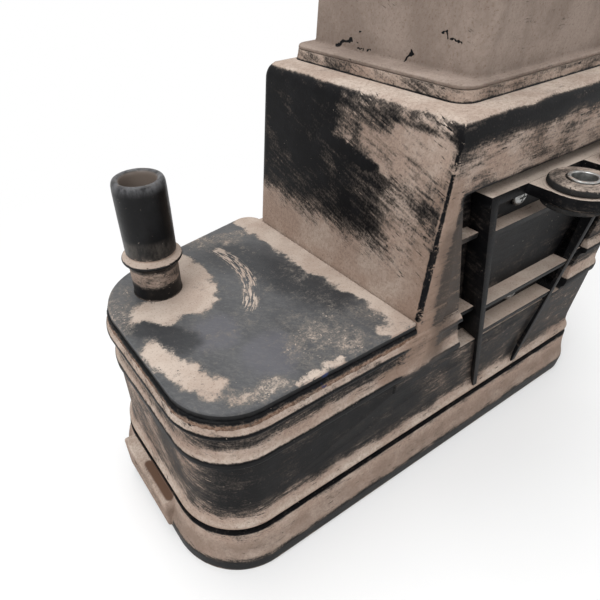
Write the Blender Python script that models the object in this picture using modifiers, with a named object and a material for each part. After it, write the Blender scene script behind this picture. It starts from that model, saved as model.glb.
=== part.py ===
"""Fuel vapour canister: a moulded tank with two chambers, a hose spigot, a shut-off valve and a side bracket.

Metres, +Z up. X = 0 is the foot of the tall chamber's front face, -X is towards the nose of the low chamber,
+Y is the far side, and Z = 0 is the plane that the bottom cover stands on.
"""

import math

import bmesh
import bpy
from mathutils import Vector

MM = 0.001
GAP = 0.3 * MM  # air between pieces that rest on each other
BITE = 1.0 * MM  # overlap of shapes that a Boolean joins, and overrun of cutters

# Overall sizes
DECK_LENGTH = 94.5 * MM
TALL_LENGTH = 144.0 * MM
TALL_WIDTH = 108.0 * MM
DECK_TOP = 96.2 * MM
TALL_TOP = 165.7 * MM
NEAR_Y = -TALL_WIDTH / 2
FAR_Y = TALL_WIDTH / 2
NOSE_X = -DECK_LENGTH
REAR_X = TALL_LENGTH
NOSE_FAR_Y = FAR_Y - 11.8 * MM
STEP_FAR_Y = FAR_Y + 7.5 * MM
NEAR_NOSE_RADIUS = 23.0 * MM
FAR_NOSE_RADIUS = 30.0 * MM
REAR_RADIUS = 8.0 * MM

# Walls and levels
WALL = 3.0 * MM
DECK_THICK = 5.2 * MM
DRAFT = 2.3 * MM  # how far each wall of the tall chamber leans in from deck to top
COVER_TOP = 25.4 * MM
COVER_FLOOR = 3.2 * MM
SKIRT_FLARE = 8.8 * MM
HOUSING_TOP = DECK_TOP - DECK_THICK - GAP
HOUSING_FOOT = COVER_TOP + GAP
ROOF_UNDER = TALL_TOP - WALL
RISER_HEIGHT = 3.6 * MM
RISER_INSET = 16.0 * MM
RISER_NEAR_INSET = 14.8 * MM
RISER_FAR_INSET = 5.7 * MM

# Outer face of the housing below the deck, from the foot up: (distance out from the plan, level)
FOOT_BAND = [
    (2.6 * MM, HOUSING_FOOT),
    (2.6 * MM, HOUSING_FOOT + 2.4 * MM),
    (4.2 * MM, HOUSING_FOOT + 2.9 * MM),
    (4.2 * MM, HOUSING_FOOT + 4.0 * MM),
    (2.9 * MM, HOUSING_FOOT + 5.6 * MM),
    (2.0 * MM, HOUSING_FOOT + 8.4 * MM),
    (1.5 * MM, HOUSING_FOOT + 12.5 * MM),
]
LOW_LEDGE_BAND = [
    (1.2 * MM, DECK_TOP - 28.8 * MM),
    (2.3 * MM, DECK_TOP - 27.8 * MM),
    (2.3 * MM, DECK_TOP - 24.9 * MM),
    (1.1 * MM, DECK_TOP - 23.2 * MM),
    (0.5 * MM, DECK_TOP - 20.0 * MM),
    (0.4 * MM, DECK_TOP - 14.0 * MM),
    (0.9 * MM, DECK_TOP - 11.6 * MM),
]
HIGH_LEDGE_BAND = [
    (2.6 * MM, DECK_TOP - 10.8 * MM),
    (2.6 * MM, DECK_TOP - 9.2 * MM),
    (1.7 * MM, DECK_TOP - 7.6 * MM),
    (0.2 * MM, HOUSING_TOP),
]

# Mounting pad on the nose of the bottom cover
PAD_PROUD = 1.6 * MM
PAD_NEAR_Y = -24.0 * MM
PAD_FAR_Y = 20.0 * MM
PAD_FOOT = 5.0 * MM
SLOT_NEAR_Y = -19.0 * MM
SLOT_WIDTH = 30.0 * MM
SLOT_FOOT = 12.0 * MM
SLOT_HEIGHT = 8.0 * MM

# Side pocket and the bracket that sits in it
POCKET_DEPTH = 8.0 * MM
POCKET_TOP = TALL_TOP - 22.7 * MM
POCKET_FOOT = DECK_TOP - 30.2 * MM
POCKET_LEAN = 24.0 * MM
POCKET_ROUNDING = 2.5 * MM
POCKET_START = 9.0 * MM
BRACKET_TOP = POCKET_TOP - 4.0 * MM
BRACKET_FOOT = 31.5 * MM
BRACKET_START = 23.0 * MM
BRACKET_LEAN = 32.0 * MM
BRACKET_BAR = 4.0 * MM
EAR_REACH = 24.0 * MM
EAR_RADIUS = 12.0 * MM
EAR_THICK = 4.0 * MM
BUSH_RADIUS = 8.2 * MM
SLEEVE_RADIUS = 5.4 * MM
MOUNT_BOLT_RADIUS = 4.1 * MM
WEB_LIFT = 3.2 * MM  # of the web's foot, over the rounded lower edge of the pocket
EAR_SHARES = (0.38, 0.62)  # of the tall chamber's length
WEB_THICK = 2.6 * MM
BRACKET_BACK_Y = NEAR_Y + POCKET_DEPTH - GAP

# Screws
SCREW_RADIUS = 1.7 * MM
SCREW_HEAD_RADIUS = 3.5 * MM
SCREW_HEAD_HEIGHT = 2.3 * MM

# Hose spigot
SPIGOT_X = NOSE_X + 24.4 * MM
SPIGOT_Y = NOSE_FAR_Y - 16.0 * MM
SPIGOT_HEIGHT = 47.6 * MM
SPIGOT_RADIUS = 10.2 * MM
SPIGOT_BORE = 6.7 * MM
NECK_RADIUS = 10.0 * MM
COLLAR_RADIUS = 12.3 * MM
COLLAR_HEIGHT = 17.2 * MM
COLLAR_THICK = 2.6 * MM
SEAT_RADIUS = 15.0 * MM

# Charcoal beds and what presses them
FLEECE_THICK = 3.0 * MM
PLATE_THICK = 3.0 * MM
PLATE_LEVEL = 27.5 * MM
RIB_DROP = 3.0 * MM
RIB_THICK = 2.0 * MM
ROOF_RIB_SHARES = (0.3, 0.7)  # of the tall chamber's length
DECK_RIB_SHARES = (0.2, 0.48)  # of the deck's length, from the tall chamber's foot
BED_CLEARANCE = 0.4 * MM
SPRING_RADIUS = 9.0 * MM
SPRING_WIRE = 0.9 * MM
SPRING_TURNS = 4.0
SPRING_SPREAD = 21.0 * MM  # of the front pair, either side of the middle
CUP_RADIUS = SPRING_RADIUS - SPRING_WIRE - 1.3 * MM  # inside the spring's turns
CUP_WALL = 1.8 * MM
CUP_HEIGHT = 3.1 * MM
PLATE_HOLE_RADIUS = 2.6 * MM
PLATE_HOLE_SPACING = 22.0 * MM
PLATE_HOLE_MARGIN = 14.0 * MM

# Vent box on the tall chamber
VENT_FLANGE = 1.3 * MM
VENT_HEIGHT = 28.0 * MM
VENT_WALL = 2.4 * MM
VENT_SETBACK = 9.0 * MM
VENT_LEAN = 0.5 * MM
LID_THICK = 2.6 * MM
LID_CLEARANCE = 0.6 * MM
LID_SKIRT = 2.0 * MM
SEAL_THICK = 1.6 * MM
FILTER_THICK = 12.0 * MM
CAGE_HEIGHT = 8.2 * MM
CAGE_WALL = 1.2 * MM
CAGE_WINDOW = 4.0 * MM  # half its width
DISC_THICK = 1.2 * MM
DISC_LAP = 2.2 * MM
RELIEF_SPRING_RADIUS = 5.0 * MM
RELIEF_SPRING_WIRE = 0.35 * MM
VALVE_HOLE = 8.0 * MM

# Pipes on the rear
PIPE_RADIUS = 8.0 * MM
PIPE_BORE = 5.8 * MM
PIPE_LENGTH = 26.0 * MM
PIPE_FLANGE = 2.8 * MM
PURGE_Y = 24.0 * MM
PURGE_Z = 138.0 * MM
FRESH_Y = 20.0 * MM

# Shut-off valve on the rear
VALVE_X = REAR_X + 17.5 * MM
VALVE_Y = -14.0 * MM
VALVE_FOOT = DECK_TOP - 38.2 * MM
VALVE_RADIUS = 14.0 * MM
VALVE_HEIGHT = 46.0 * MM
COIL_RADIUS = 10.5 * MM
COIL_HEIGHT = 22.0 * MM
PLUNGER_RADIUS = 4.0 * MM
PLUNGER_SPRING_RADIUS = 2.6 * MM
PLUNGER_SPRING_WIRE = 0.4 * MM
SEAL_RADIUS = 5.2 * MM
CHAMBER_RADIUS = 6.6 * MM
CHAMBER_FLOOR = 3.0 * MM
WELL_FLOOR = 14.0 * MM
INLET_RADIUS = 3.6 * MM
DUCT_RADIUS = 5.0 * MM
DUCT_WALL = 1.6 * MM
DUCT_PROUD = 2.0 * MM  # past the tank wall's inner face
DUCT_Z = VALVE_FOOT + 8.0 * MM
FLANGE_THICK = 4.0 * MM
FLANGE_REACH = VALVE_RADIUS + 13.0 * MM
VALVE_WALL_X = REAR_X + 2.6 * MM  # the flange rests on the two ledges, which stand out this far
CAP_THICK = 3.2 * MM
SHROUD_REACH = 24.0 * MM
SHROUD_WIDTH = 17.0 * MM
SHROUD_HEIGHT = 12.0 * MM
SHROUD_WALL = 1.8 * MM
PIN_SPACING = 5.2 * MM
PIN_WIDTH = 0.8 * MM
PIN_THICK = 0.5 * MM

scene = bpy.context.scene
for old in list(bpy.data.objects):
    bpy.data.objects.remove(old, do_unlink=True)
parts = bpy.data.collections.new("fuel_vapour_canister")
helpers = bpy.data.collections.new("cutters")
scene.collection.children.link(parts)
scene.collection.children.link(helpers)


# Materials

def material(name, colour, roughness, metallic=0.0):
    made = bpy.data.materials.new(name)
    made.use_nodes = True
    shader = made.node_tree.nodes["Principled BSDF"]
    shader.inputs["Base Color"].default_value = (*colour, 1.0)
    shader.inputs["Roughness"].default_value = roughness
    shader.inputs["Metallic"].default_value = metallic
    made.diffuse_color = (*colour, 1.0)
    return made


def black_plastic(name):
    return material(name, (0.02, 0.02, 0.022), 0.45)


def steel(name):
    return material(name, (0.55, 0.55, 0.56), 0.35, 1.0)


def rubber(name):
    return material(name, (0.03, 0.03, 0.03), 0.8)


def felt(name):
    return material(name, (0.8, 0.79, 0.74), 0.95)


def charcoal(name):
    return material(name, (0.012, 0.012, 0.012), 0.9)


# Shape helpers

def place(name, mesh, finish, location=(0, 0, 0)):
    """A new object for a mesh; cutters go to the helper collection."""
    made = bpy.data.objects.new(name, mesh)
    made.location = location
    if finish is None:
        helpers.objects.link(made)
        made.hide_render = True
        made.display_type = "WIRE"
    else:
        mesh.materials.append(finish)
        parts.objects.link(made)
    return made


def mesh_from(name, shape):
    bmesh.ops.recalc_face_normals(shape, faces=shape.faces)
    mesh = bpy.data.meshes.new(name)
    shape.to_mesh(mesh)
    shape.free()
    return mesh


def soften(mesh, degrees=35):
    mesh.shade_smooth()
    mesh.set_sharp_from_angle(angle=math.radians(degrees))


def box(name, low, high, finish=None, bevel=0.0, segments=2):
    shape = bmesh.new()
    bmesh.ops.create_cube(shape, size=1.0)
    size = [top - bottom for top, bottom in zip(high, low)]
    middle = [(top + bottom) / 2 for top, bottom in zip(high, low)]
    bmesh.ops.scale(shape, vec=size, verts=shape.verts)
    made = place(name, mesh_from(name, shape), finish, location=middle)
    if bevel:
        rounding = made.modifiers.new("rounding", "BEVEL")
        rounding.width = bevel
        rounding.segments = segments
    return made


def cylinder(name, radius, start, end, finish=None, segments=32, end_radius=None):
    """A solid cylinder or cone between two points."""
    shape = bmesh.new()
    along = Vector(end) - Vector(start)
    bmesh.ops.create_cone(
        shape,
        cap_ends=True,
        segments=segments,
        radius1=radius,
        radius2=radius if end_radius is None else end_radius,
        depth=along.length,
    )
    turn = Vector((0, 0, 1)).rotation_difference(along).to_matrix()
    bmesh.ops.rotate(shape, verts=shape.verts, matrix=turn)
    middle = (Vector(start) + Vector(end)) / 2
    mesh = mesh_from(name, shape)
    soften(mesh)
    return place(name, mesh, finish, location=middle)


def turned(name, profile, location, finish=None, segments=32, tilt=None):
    """A profile of (radius, height) points turned round a vertical axis; its outer side runs downwards."""
    shape = bmesh.new()
    points = [shape.verts.new((radius, 0.0, height)) for radius, height in profile]
    on_axis = profile[0][0] == 0.0 and profile[-1][0] == 0.0
    for i, point in enumerate(points[:-1]):
        shape.edges.new((point, points[i + 1]))
    if not on_axis:
        shape.edges.new((points[-1], points[0]))
    mesh = bpy.data.meshes.new(name)
    shape.to_mesh(mesh)
    shape.free()
    made = place(name, mesh, finish, location=location)
    screw = made.modifiers.new("turn", "SCREW")
    screw.steps = segments
    screw.render_steps = segments
    screw.use_merge_vertices = True
    screw.merge_threshold = 0.00001
    screw.use_smooth_shade = True
    if tilt is not None:
        made.rotation_euler = tilt
    return made


def outline(corners, offset, steps):
    """A convex outline's points, counter-clockwise: its sides moved out by offset and its corners rounded."""
    smallest = 0.4 * MM
    points = []
    for i, (x, y, radius) in enumerate(corners):
        here = Vector((x, y))
        before = here - Vector(corners[i - 1][:2])
        after = Vector(corners[(i + 1) % len(corners)][:2]) - here
        before.normalize()
        after.normalize()
        turn = before.angle(after)
        normal_in = Vector((before.y, -before.x))
        normal_out = Vector((after.y, -after.x))
        corner = here + (normal_in + normal_out).normalized() * offset / math.cos(turn / 2)
        rounding = max(radius + offset, smallest)
        centre = corner - before * rounding * math.tan(turn / 2) - normal_in * rounding
        start = math.atan2(normal_in.y, normal_in.x)
        for step in range(steps + 1):
            angle = start + turn * step / steps
            points.append(centre + rounding * Vector((math.cos(angle), math.sin(angle))))
    return points


def loft(name, corners, profile, finish=None, steps=6, ring=False):
    """A body through one outline at each (offset, height) of the profile: capped, or a closed ring."""
    shape = bmesh.new()
    loops = []
    for offset, height in profile:
        loops.append([shape.verts.new((p.x, p.y, height)) for p in outline(corners, offset, steps)])
    pairs = list(zip(loops, loops[1:]))
    if ring:
        pairs.append((loops[-1], loops[0]))
    for lower, upper in pairs:
        for i in range(len(lower)):
            shape.faces.new((lower[i - 1], lower[i], upper[i], upper[i - 1]))
    if not ring:
        shape.faces.new(loops[0])
        shape.faces.new(loops[-1])
    mesh = mesh_from(name, shape)
    soften(mesh, 40)
    return place(name, mesh, finish)


def prism(name, outline_xz, low_y, high_y, finish=None):
    """A flat outline in the XZ plane, given as (x, z) points, made thick along Y."""
    shape = bmesh.new()
    near = [shape.verts.new((x, low_y, z)) for x, z in outline_xz]
    far = [shape.verts.new((x, high_y, z)) for x, z in outline_xz]
    shape.faces.new(near)
    shape.faces.new(far)
    for i in range(len(near)):
        shape.faces.new((near[i - 1], near[i], far[i], far[i - 1]))
    return place(name, mesh_from(name, shape), finish)


def boolean(target, other, operation):
    cut = target.modifiers.new(other.name, "BOOLEAN")
    cut.operation = operation
    cut.solver = "EXACT"
    cut.object = other


def cut_away(target, *others):
    for other in others:
        boolean(target, other, "DIFFERENCE")


def join_on(target, *others):
    for other in others:
        boolean(target, other, "UNION")


# Outlines in plan: (x, y, corner radius), counter-clockwise from the near side of the nose

LOWER_PLAN = [
    (NOSE_X, NEAR_Y, NEAR_NOSE_RADIUS),
    (REAR_X, NEAR_Y, REAR_RADIUS),
    (REAR_X, FAR_Y, REAR_RADIUS),
    (0.0, STEP_FAR_Y, 25.0 * MM),
    (NOSE_X, NOSE_FAR_Y, FAR_NOSE_RADIUS),
]
DECK_PLAN = [
    (NOSE_X, NEAR_Y, NEAR_NOSE_RADIUS),
    (-GAP, NEAR_Y, 0.8 * MM),
    (-GAP, STEP_FAR_Y, 8.0 * MM),
    (NOSE_X, NOSE_FAR_Y, FAR_NOSE_RADIUS),
]
FRONT_CHAMBER_PLAN = [
    (NOSE_X, NEAR_Y, NEAR_NOSE_RADIUS),
    (WALL, NEAR_Y, 9.0 * MM),
    (WALL, STEP_FAR_Y, 11.0 * MM),
    (NOSE_X, NOSE_FAR_Y, FAR_NOSE_RADIUS),
]
TALL_PLAN = [
    (0.0, NEAR_Y, 3.0 * MM),
    (REAR_X, NEAR_Y, REAR_RADIUS),
    (REAR_X, FAR_Y, REAR_RADIUS),
    (0.0, FAR_Y, 7.0 * MM),
]
REAR_CHAMBER_PLAN = [
    (0.0, NEAR_Y + POCKET_DEPTH, 9.0 * MM),
    (REAR_X, NEAR_Y + POCKET_DEPTH, 9.0 * MM),
    (REAR_X, FAR_Y, 9.0 * MM),
    (0.0, FAR_Y, 9.0 * MM),
]
RISER_PLAN = [
    (RISER_INSET, NEAR_Y + RISER_NEAR_INSET, 6.0 * MM),
    (REAR_X - RISER_INSET, NEAR_Y + RISER_NEAR_INSET, 6.0 * MM),
    (REAR_X - RISER_INSET, FAR_Y - RISER_FAR_INSET, 6.0 * MM),
    (RISER_INSET, FAR_Y - RISER_FAR_INSET, 6.0 * MM),
]
VENT_PLAN = [
    (RISER_INSET + VENT_SETBACK, NEAR_Y + RISER_NEAR_INSET + 3.5 * MM, 5.0 * MM),
    (REAR_X - RISER_INSET - VENT_SETBACK, NEAR_Y + RISER_NEAR_INSET + 3.5 * MM, 5.0 * MM),
    (REAR_X - RISER_INSET - VENT_SETBACK, FAR_Y - RISER_FAR_INSET - 0.8 * MM, 5.0 * MM),
    (RISER_INSET + VENT_SETBACK, FAR_Y - RISER_FAR_INSET - 0.8 * MM, 5.0 * MM),
]
RISER_TOP = TALL_TOP + RISER_HEIGHT
VENT_FOOT = RISER_TOP + GAP
VENT_FLOOR = VENT_FOOT + VENT_FLANGE
VENT_TOP = VENT_FLOOR + VENT_HEIGHT
VENT_REAR_X = REAR_X - RISER_INSET - VENT_SETBACK
FRESH_Z = VENT_FLOOR + VENT_HEIGHT * 0.45
WALL_ANGLE = math.atan(DRAFT / (TALL_TOP - DECK_TOP))
POCKET_FLOOR_Y = NEAR_Y + POCKET_DEPTH
SHELF_LEVELS = (DECK_TOP - 9.4 * MM, DECK_TOP + 27.8 * MM)
SHELF_THICK = 2.4 * MM


# Housing

def pocket_edge(z):
    """X of the pocket's leaning front end at a height; its rear end mirrors it."""
    return POCKET_START + POCKET_LEAN * (POCKET_TOP - z) / (POCKET_TOP - POCKET_FOOT)


def pocket_cutter():
    corners = [
        (pocket_edge(POCKET_TOP), POCKET_TOP),
        (pocket_edge(POCKET_FOOT), POCKET_FOOT),
        (REAR_X - pocket_edge(POCKET_FOOT), POCKET_FOOT),
        (REAR_X - pocket_edge(POCKET_TOP), POCKET_TOP),
    ]
    cutter = prism("side_pocket", corners, NEAR_Y - 12 * MM, POCKET_FLOOR_Y)
    rounding = cutter.modifiers.new("rounding", "BEVEL")
    rounding.width = POCKET_ROUNDING
    rounding.segments = 3
    return cutter


def pocket_shelves():
    """Short shelves that carry the ledges on into the pocket, as far as the bracket's legs."""
    made = []
    for number, level in enumerate(SHELF_LEVELS):
        low = level - SHELF_THICK
        outer = pocket_edge(level) - 2 * BITE
        inner = bracket_front(level) - 2 * GAP
        near_y = NEAR_Y + (2.6 * MM if level > DECK_TOP else 0.6 * MM)
        for side, (start, end) in (("front", (outer, inner)), ("rear", (REAR_X - inner, REAR_X - outer))):
            name = f"pocket_shelf_{number}_{side}"
            made.append(box(name, (start, near_y, low), (end, POCKET_FLOOR_Y + BITE, level)))
    return made


def housing():
    lower_profile = FOOT_BAND + LOW_LEDGE_BAND + HIGH_LEDGE_BAND
    body = loft("housing", LOWER_PLAN, lower_profile, black_plastic("housing_plastic"), steps=6)
    tall_profile = [
        (-0.1 * MM, HOUSING_TOP - 5.0 * MM),
        (0.0, DECK_TOP),
        (-DRAFT, TALL_TOP - 4.2 * MM),
        (-DRAFT - 1.2 * MM, TALL_TOP - 1.6 * MM),
        (-DRAFT - 3.6 * MM, TALL_TOP),
    ]
    tall = loft("tall_chamber", TALL_PLAN, tall_profile, steps=5)
    riser = loft("riser", RISER_PLAN, [(0.6 * MM, TALL_TOP - BITE), (0.0, RISER_TOP)], steps=4)
    join_on(body, tall, riser)
    join_on(body, *corner_pilaster())
    front_profile = [(-WALL, HOUSING_FOOT - BITE), (-WALL, HOUSING_TOP + BITE)]
    front = loft("front_space", FRONT_CHAMBER_PLAN, front_profile, steps=6)
    rear_profile = [(-WALL, HOUSING_FOOT - BITE), (-WALL, DECK_TOP), (-WALL - DRAFT, ROOF_UNDER)]
    rear = loft("rear_space", REAR_CHAMBER_PLAN, rear_profile, steps=4)
    cut_away(body, front, rear)
    join_on(body, *roof_ribs())
    cut_away(body, pocket_cutter())
    join_on(body, *pocket_shelves())
    roof_hole = vent_passage("roof_hole", ROOF_UNDER - BITE, RISER_TOP + BITE)
    cut_away(body, side_panel_cutter(), roof_hole)
    cut_away(body, *rear_wall_bores())
    cut_away(body, *bracket_screw_holes(NEAR_Y - 6 * MM, POCKET_FLOOR_Y + 2.2 * MM))
    cut_away(body, *valve_screw_holes("valve_screw_hole", REAR_X - 2.4 * MM, REAR_X + 6 * MM))


def corner_pilaster():
    """The thick corner that blends the ledges into the tall chamber's near front edge."""
    low = DECK_TOP - 36.0 * MM
    proud = NEAR_Y - 1.9 * MM
    inner = NEAR_Y + 3.0 * MM
    under_deck = box(
        "pilaster_low",
        (-7.0 * MM, proud, low),
        (POCKET_START + 8.0 * MM, inner, HOUSING_TOP),
        bevel=1.6 * MM,
        segments=3,
    )
    beside_deck = box(
        "pilaster_high",
        (0.4 * MM, proud + 0.9 * MM, low + 20.0 * MM),
        (POCKET_START + 7.0 * MM, inner - 0.2 * MM, DECK_TOP + 3.0 * MM),
        bevel=1.5 * MM,
        segments=3,
    )
    return [under_deck, beside_deck]


def roof_ribs():
    """Ribs under the roof that hold the upper fleece off it, so that air spreads over the whole bed."""
    made = []
    for number, share in enumerate(ROOF_RIB_SHARES):
        x = REAR_X * share
        low = (x - RIB_THICK / 2, POCKET_FLOOR_Y + WALL - BITE, ROOF_UNDER - RIB_DROP)
        high = (x + RIB_THICK / 2, FAR_Y - WALL - BITE, ROOF_UNDER + BITE)
        made.append(box(f"roof_rib_{number}", low, high))
    return made


def side_panel_cutter():
    """The shallow panel sunk in the near side above the pocket."""
    low = DECK_TOP + 4.0 * MM
    high = TALL_TOP - 5.0 * MM
    cutter = box(
        "side_panel",
        (3.5 * MM, -5.0 * MM, -(high - low) / 2),
        (REAR_X - 3.5 * MM, 0.9 * MM, (high - low) / 2),
        bevel=0.8 * MM,
        segments=2,
    )
    middle = (low + high) / 2
    wall_y = NEAR_Y + DRAFT * (middle - DECK_TOP) / (TALL_TOP - DECK_TOP)
    cutter.location = (REAR_X / 2, wall_y - 2.05 * MM, middle)
    cutter.rotation_euler = (-WALL_ANGLE, 0, 0)
    return cutter


def vent_passage(name, low, high):
    middle_x = REAR_X / 2
    middle_y = (NEAR_Y + RISER_NEAR_INSET + FAR_Y - RISER_FAR_INSET) / 2
    return cylinder(name, VALVE_HOLE, (middle_x, middle_y, low), (middle_x, middle_y, high), segments=24)


# Deck cover and hose spigot

def deck_cover():
    under = DECK_TOP - DECK_THICK
    profile = [
        (0.0, under),
        (0.0, DECK_TOP - 0.9 * MM),
        (-0.3 * MM, DECK_TOP - 0.25 * MM),
        (-0.9 * MM, DECK_TOP),
    ]
    plate = loft("deck_cover", DECK_PLAN, profile, black_plastic("deck_plastic"), steps=8)
    clearance = WALL + BED_CLEARANCE
    for number, share in enumerate(DECK_RIB_SHARES):
        x = NOSE_X * share
        low = (x - RIB_THICK / 2, NEAR_Y + clearance + BITE, under - RIB_DROP)
        high = (x + RIB_THICK / 2, NOSE_FAR_Y - clearance, under + BITE)
        join_on(plate, box(f"deck_rib_{number}", low, high))
    ends = ((SPIGOT_X, SPIGOT_Y, under - BITE), (SPIGOT_X, SPIGOT_Y, DECK_TOP + BITE))
    cut_away(plate, cylinder("spigot_hole", NECK_RADIUS + GAP, *ends))


def hose_spigot():
    """The tube that the hose is pushed over, with its stop collar, and the seat under the deck."""
    under = -DECK_THICK - GAP
    top = SPIGOT_HEIGHT
    collar = COLLAR_HEIGHT
    neck_end = collar - COLLAR_THICK
    profile = [
        (SPIGOT_BORE + 1.5 * MM, top),
        (SPIGOT_RADIUS - 1.4 * MM, top - 0.1 * MM),
        (SPIGOT_RADIUS - 0.6 * MM, top - 0.7 * MM),
        (SPIGOT_RADIUS - 0.25 * MM, top - 1.8 * MM),
        (SPIGOT_RADIUS - 0.1 * MM, top - 4.0 * MM),
        (SPIGOT_RADIUS, top - 14.0 * MM),
        (SPIGOT_RADIUS, collar + 1.6 * MM),
        (SPIGOT_RADIUS - 0.5 * MM, collar + 1.2 * MM),
        (SPIGOT_RADIUS - 0.5 * MM, collar + 0.7 * MM),
        (SPIGOT_RADIUS + 0.4 * MM, collar + 0.2 * MM),
        (COLLAR_RADIUS - 1.0 * MM, collar - 0.1 * MM),
        (COLLAR_RADIUS - 0.2 * MM, collar - 0.6 * MM),
        (COLLAR_RADIUS, collar - 1.2 * MM),
        (COLLAR_RADIUS - 0.3 * MM, collar - 1.9 * MM),
        (NECK_RADIUS + 0.9 * MM, neck_end),
        (NECK_RADIUS, neck_end - 0.8 * MM),
        (NECK_RADIUS, under),
        (SEAT_RADIUS, under),
        (SEAT_RADIUS, under - 2.4 * MM),
        (SPIGOT_BORE, under - 2.4 * MM),
        (SPIGOT_BORE, top - 1.8 * MM),
        (SPIGOT_BORE + 0.5 * MM, top - 0.6 * MM),
    ]
    turned("hose_spigot", profile, (SPIGOT_X, SPIGOT_Y, DECK_TOP), black_plastic("spigot_plastic"), 32)


# Bottom cover

def bottom_cover():
    profile = [
        (SKIRT_FLARE - 1.2 * MM, 0.0),
        (SKIRT_FLARE - 0.3 * MM, 0.7 * MM),
        (SKIRT_FLARE, 2.0 * MM),
        (SKIRT_FLARE, 8.6 * MM),
        (SKIRT_FLARE - 0.5 * MM, 10.4 * MM),
        (SKIRT_FLARE - 1.7 * MM, 13.4 * MM),
        (SKIRT_FLARE - 2.8 * MM, 17.4 * MM),
        (SKIRT_FLARE - 3.6 * MM, COVER_TOP - 4.0 * MM),
        (SKIRT_FLARE - 4.1 * MM, COVER_TOP),
    ]
    cover = loft("bottom_cover", LOWER_PLAN, profile, black_plastic("cover_plastic"), steps=7)
    join_on(cover, mounting_pad())
    hollow = [(0.0, COVER_FLOOR), (0.0, COVER_TOP + BITE)]
    cut_away(cover, loft("cover_space", LOWER_PLAN, hollow, steps=6))
    cup_profile = [
        (CUP_RADIUS, CUP_HEIGHT),
        (CUP_RADIUS, -BITE),
        (CUP_RADIUS - CUP_WALL, -BITE),
        (CUP_RADIUS - CUP_WALL, CUP_HEIGHT),
    ]
    for number, (x, y) in enumerate(spring_places()):
        join_on(cover, turned(f"spring_cup_{number}", cup_profile, (x, y, COVER_FLOOR), segments=20))
    cut_away(cover, pad_slot())


def mounting_pad():
    """The raised pad on the nose with the slot that a bracket tongue enters."""
    return box(
        "mounting_pad",
        (NOSE_X - SKIRT_FLARE - PAD_PROUD, PAD_NEAR_Y, PAD_FOOT),
        (NOSE_X - 3.5 * MM, PAD_FAR_Y, COVER_TOP - 0.8 * MM),
        bevel=1.2 * MM,
    )


def pad_slot():
    return box(
        "pad_slot",
        (NOSE_X - SKIRT_FLARE - PAD_PROUD - 4.4 * MM, SLOT_NEAR_Y, SLOT_FOOT),
        (NOSE_X - 3.2 * MM, SLOT_NEAR_Y + SLOT_WIDTH, SLOT_FOOT + SLOT_HEIGHT),
        bevel=1.0 * MM,
    )


def spring_places():
    """Centres of the springs: two under the front bed, then two under the rear one."""
    front_y = (NEAR_Y + NOSE_FAR_Y) / 2
    rear_y = (NEAR_Y + POCKET_DEPTH + FAR_Y) / 2
    front_x = NOSE_X * 0.5
    rear_reach = REAR_X * 0.24
    return [
        (front_x, front_y - SPRING_SPREAD),
        (front_x, front_y + SPRING_SPREAD),
        (REAR_X / 2 - rear_reach, rear_y),
        (REAR_X / 2 + rear_reach, rear_y),
    ]


# Charcoal beds, fleeces, retainer plates and springs

def slab(name, plan, inset, low, high, finish, steps=3):
    return loft(name, plan, [(-inset, low), (-inset, high)], finish, steps=steps)


def retainer_plate(name, plan, inset):
    """A plate with air holes that the springs push against the lower fleece."""
    finish = black_plastic(name + "_plastic")
    plate = slab(name, plan, inset, PLATE_LEVEL, PLATE_LEVEL + PLATE_THICK, finish)
    xs = [corner[0] for corner in plan]
    ys = [corner[1] for corner in plan]
    far_y = min(max(ys), NOSE_FAR_Y)
    columns = int((max(xs) - min(xs) - 2 * PLATE_HOLE_MARGIN) // PLATE_HOLE_SPACING) + 1
    rows = int((far_y - min(ys) - 2 * PLATE_HOLE_MARGIN) // PLATE_HOLE_SPACING) + 1
    middle_x = (max(xs) + min(xs)) / 2
    middle_y = (far_y + min(ys)) / 2
    low = PLATE_LEVEL - BITE
    high = PLATE_LEVEL + PLATE_THICK + BITE
    for column in range(columns):
        for row in range(rows):
            x = middle_x + (column - (columns - 1) / 2) * PLATE_HOLE_SPACING
            y = middle_y + (row - (rows - 1) / 2) * PLATE_HOLE_SPACING
            hole_name = f"{name}_hole_{column}_{row}"
            cut_away(plate, cylinder(hole_name, PLATE_HOLE_RADIUS, (x, y, low), (x, y, high), segments=8))


def bed_stack(side, plan, ceiling):
    inset = WALL + BED_CLEARANCE
    retainer_plate(f"{side}_retainer_plate", plan, inset)
    level = PLATE_LEVEL + PLATE_THICK + GAP
    slab(f"{side}_lower_fleece", plan, inset, level, level + FLEECE_THICK, felt(f"{side}_lower_felt"))
    bed_foot = level + FLEECE_THICK + GAP
    bed_top = ceiling - GAP - FLEECE_THICK - GAP
    slab(f"{side}_charcoal_bed", plan, inset, bed_foot, bed_top, charcoal(f"{side}_charcoal"))
    slab(f"{side}_upper_fleece", plan, inset, bed_top + GAP, ceiling - GAP, felt(f"{side}_upper_felt"))


def rear_stack_plan():
    """The rear stack keeps clear of the leaning walls, so its plan is a little smaller."""
    inset = DRAFT
    (x0, y0, radius), (x1, _, _), (_, y1, _), _ = REAR_CHAMBER_PLAN
    return [
        (x0 + inset, y0 + inset, radius),
        (x1 - inset, y0 + inset, radius),
        (x1 - inset, y1 - inset, radius),
        (x0 + inset, y1 - inset, radius),
    ]


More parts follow.
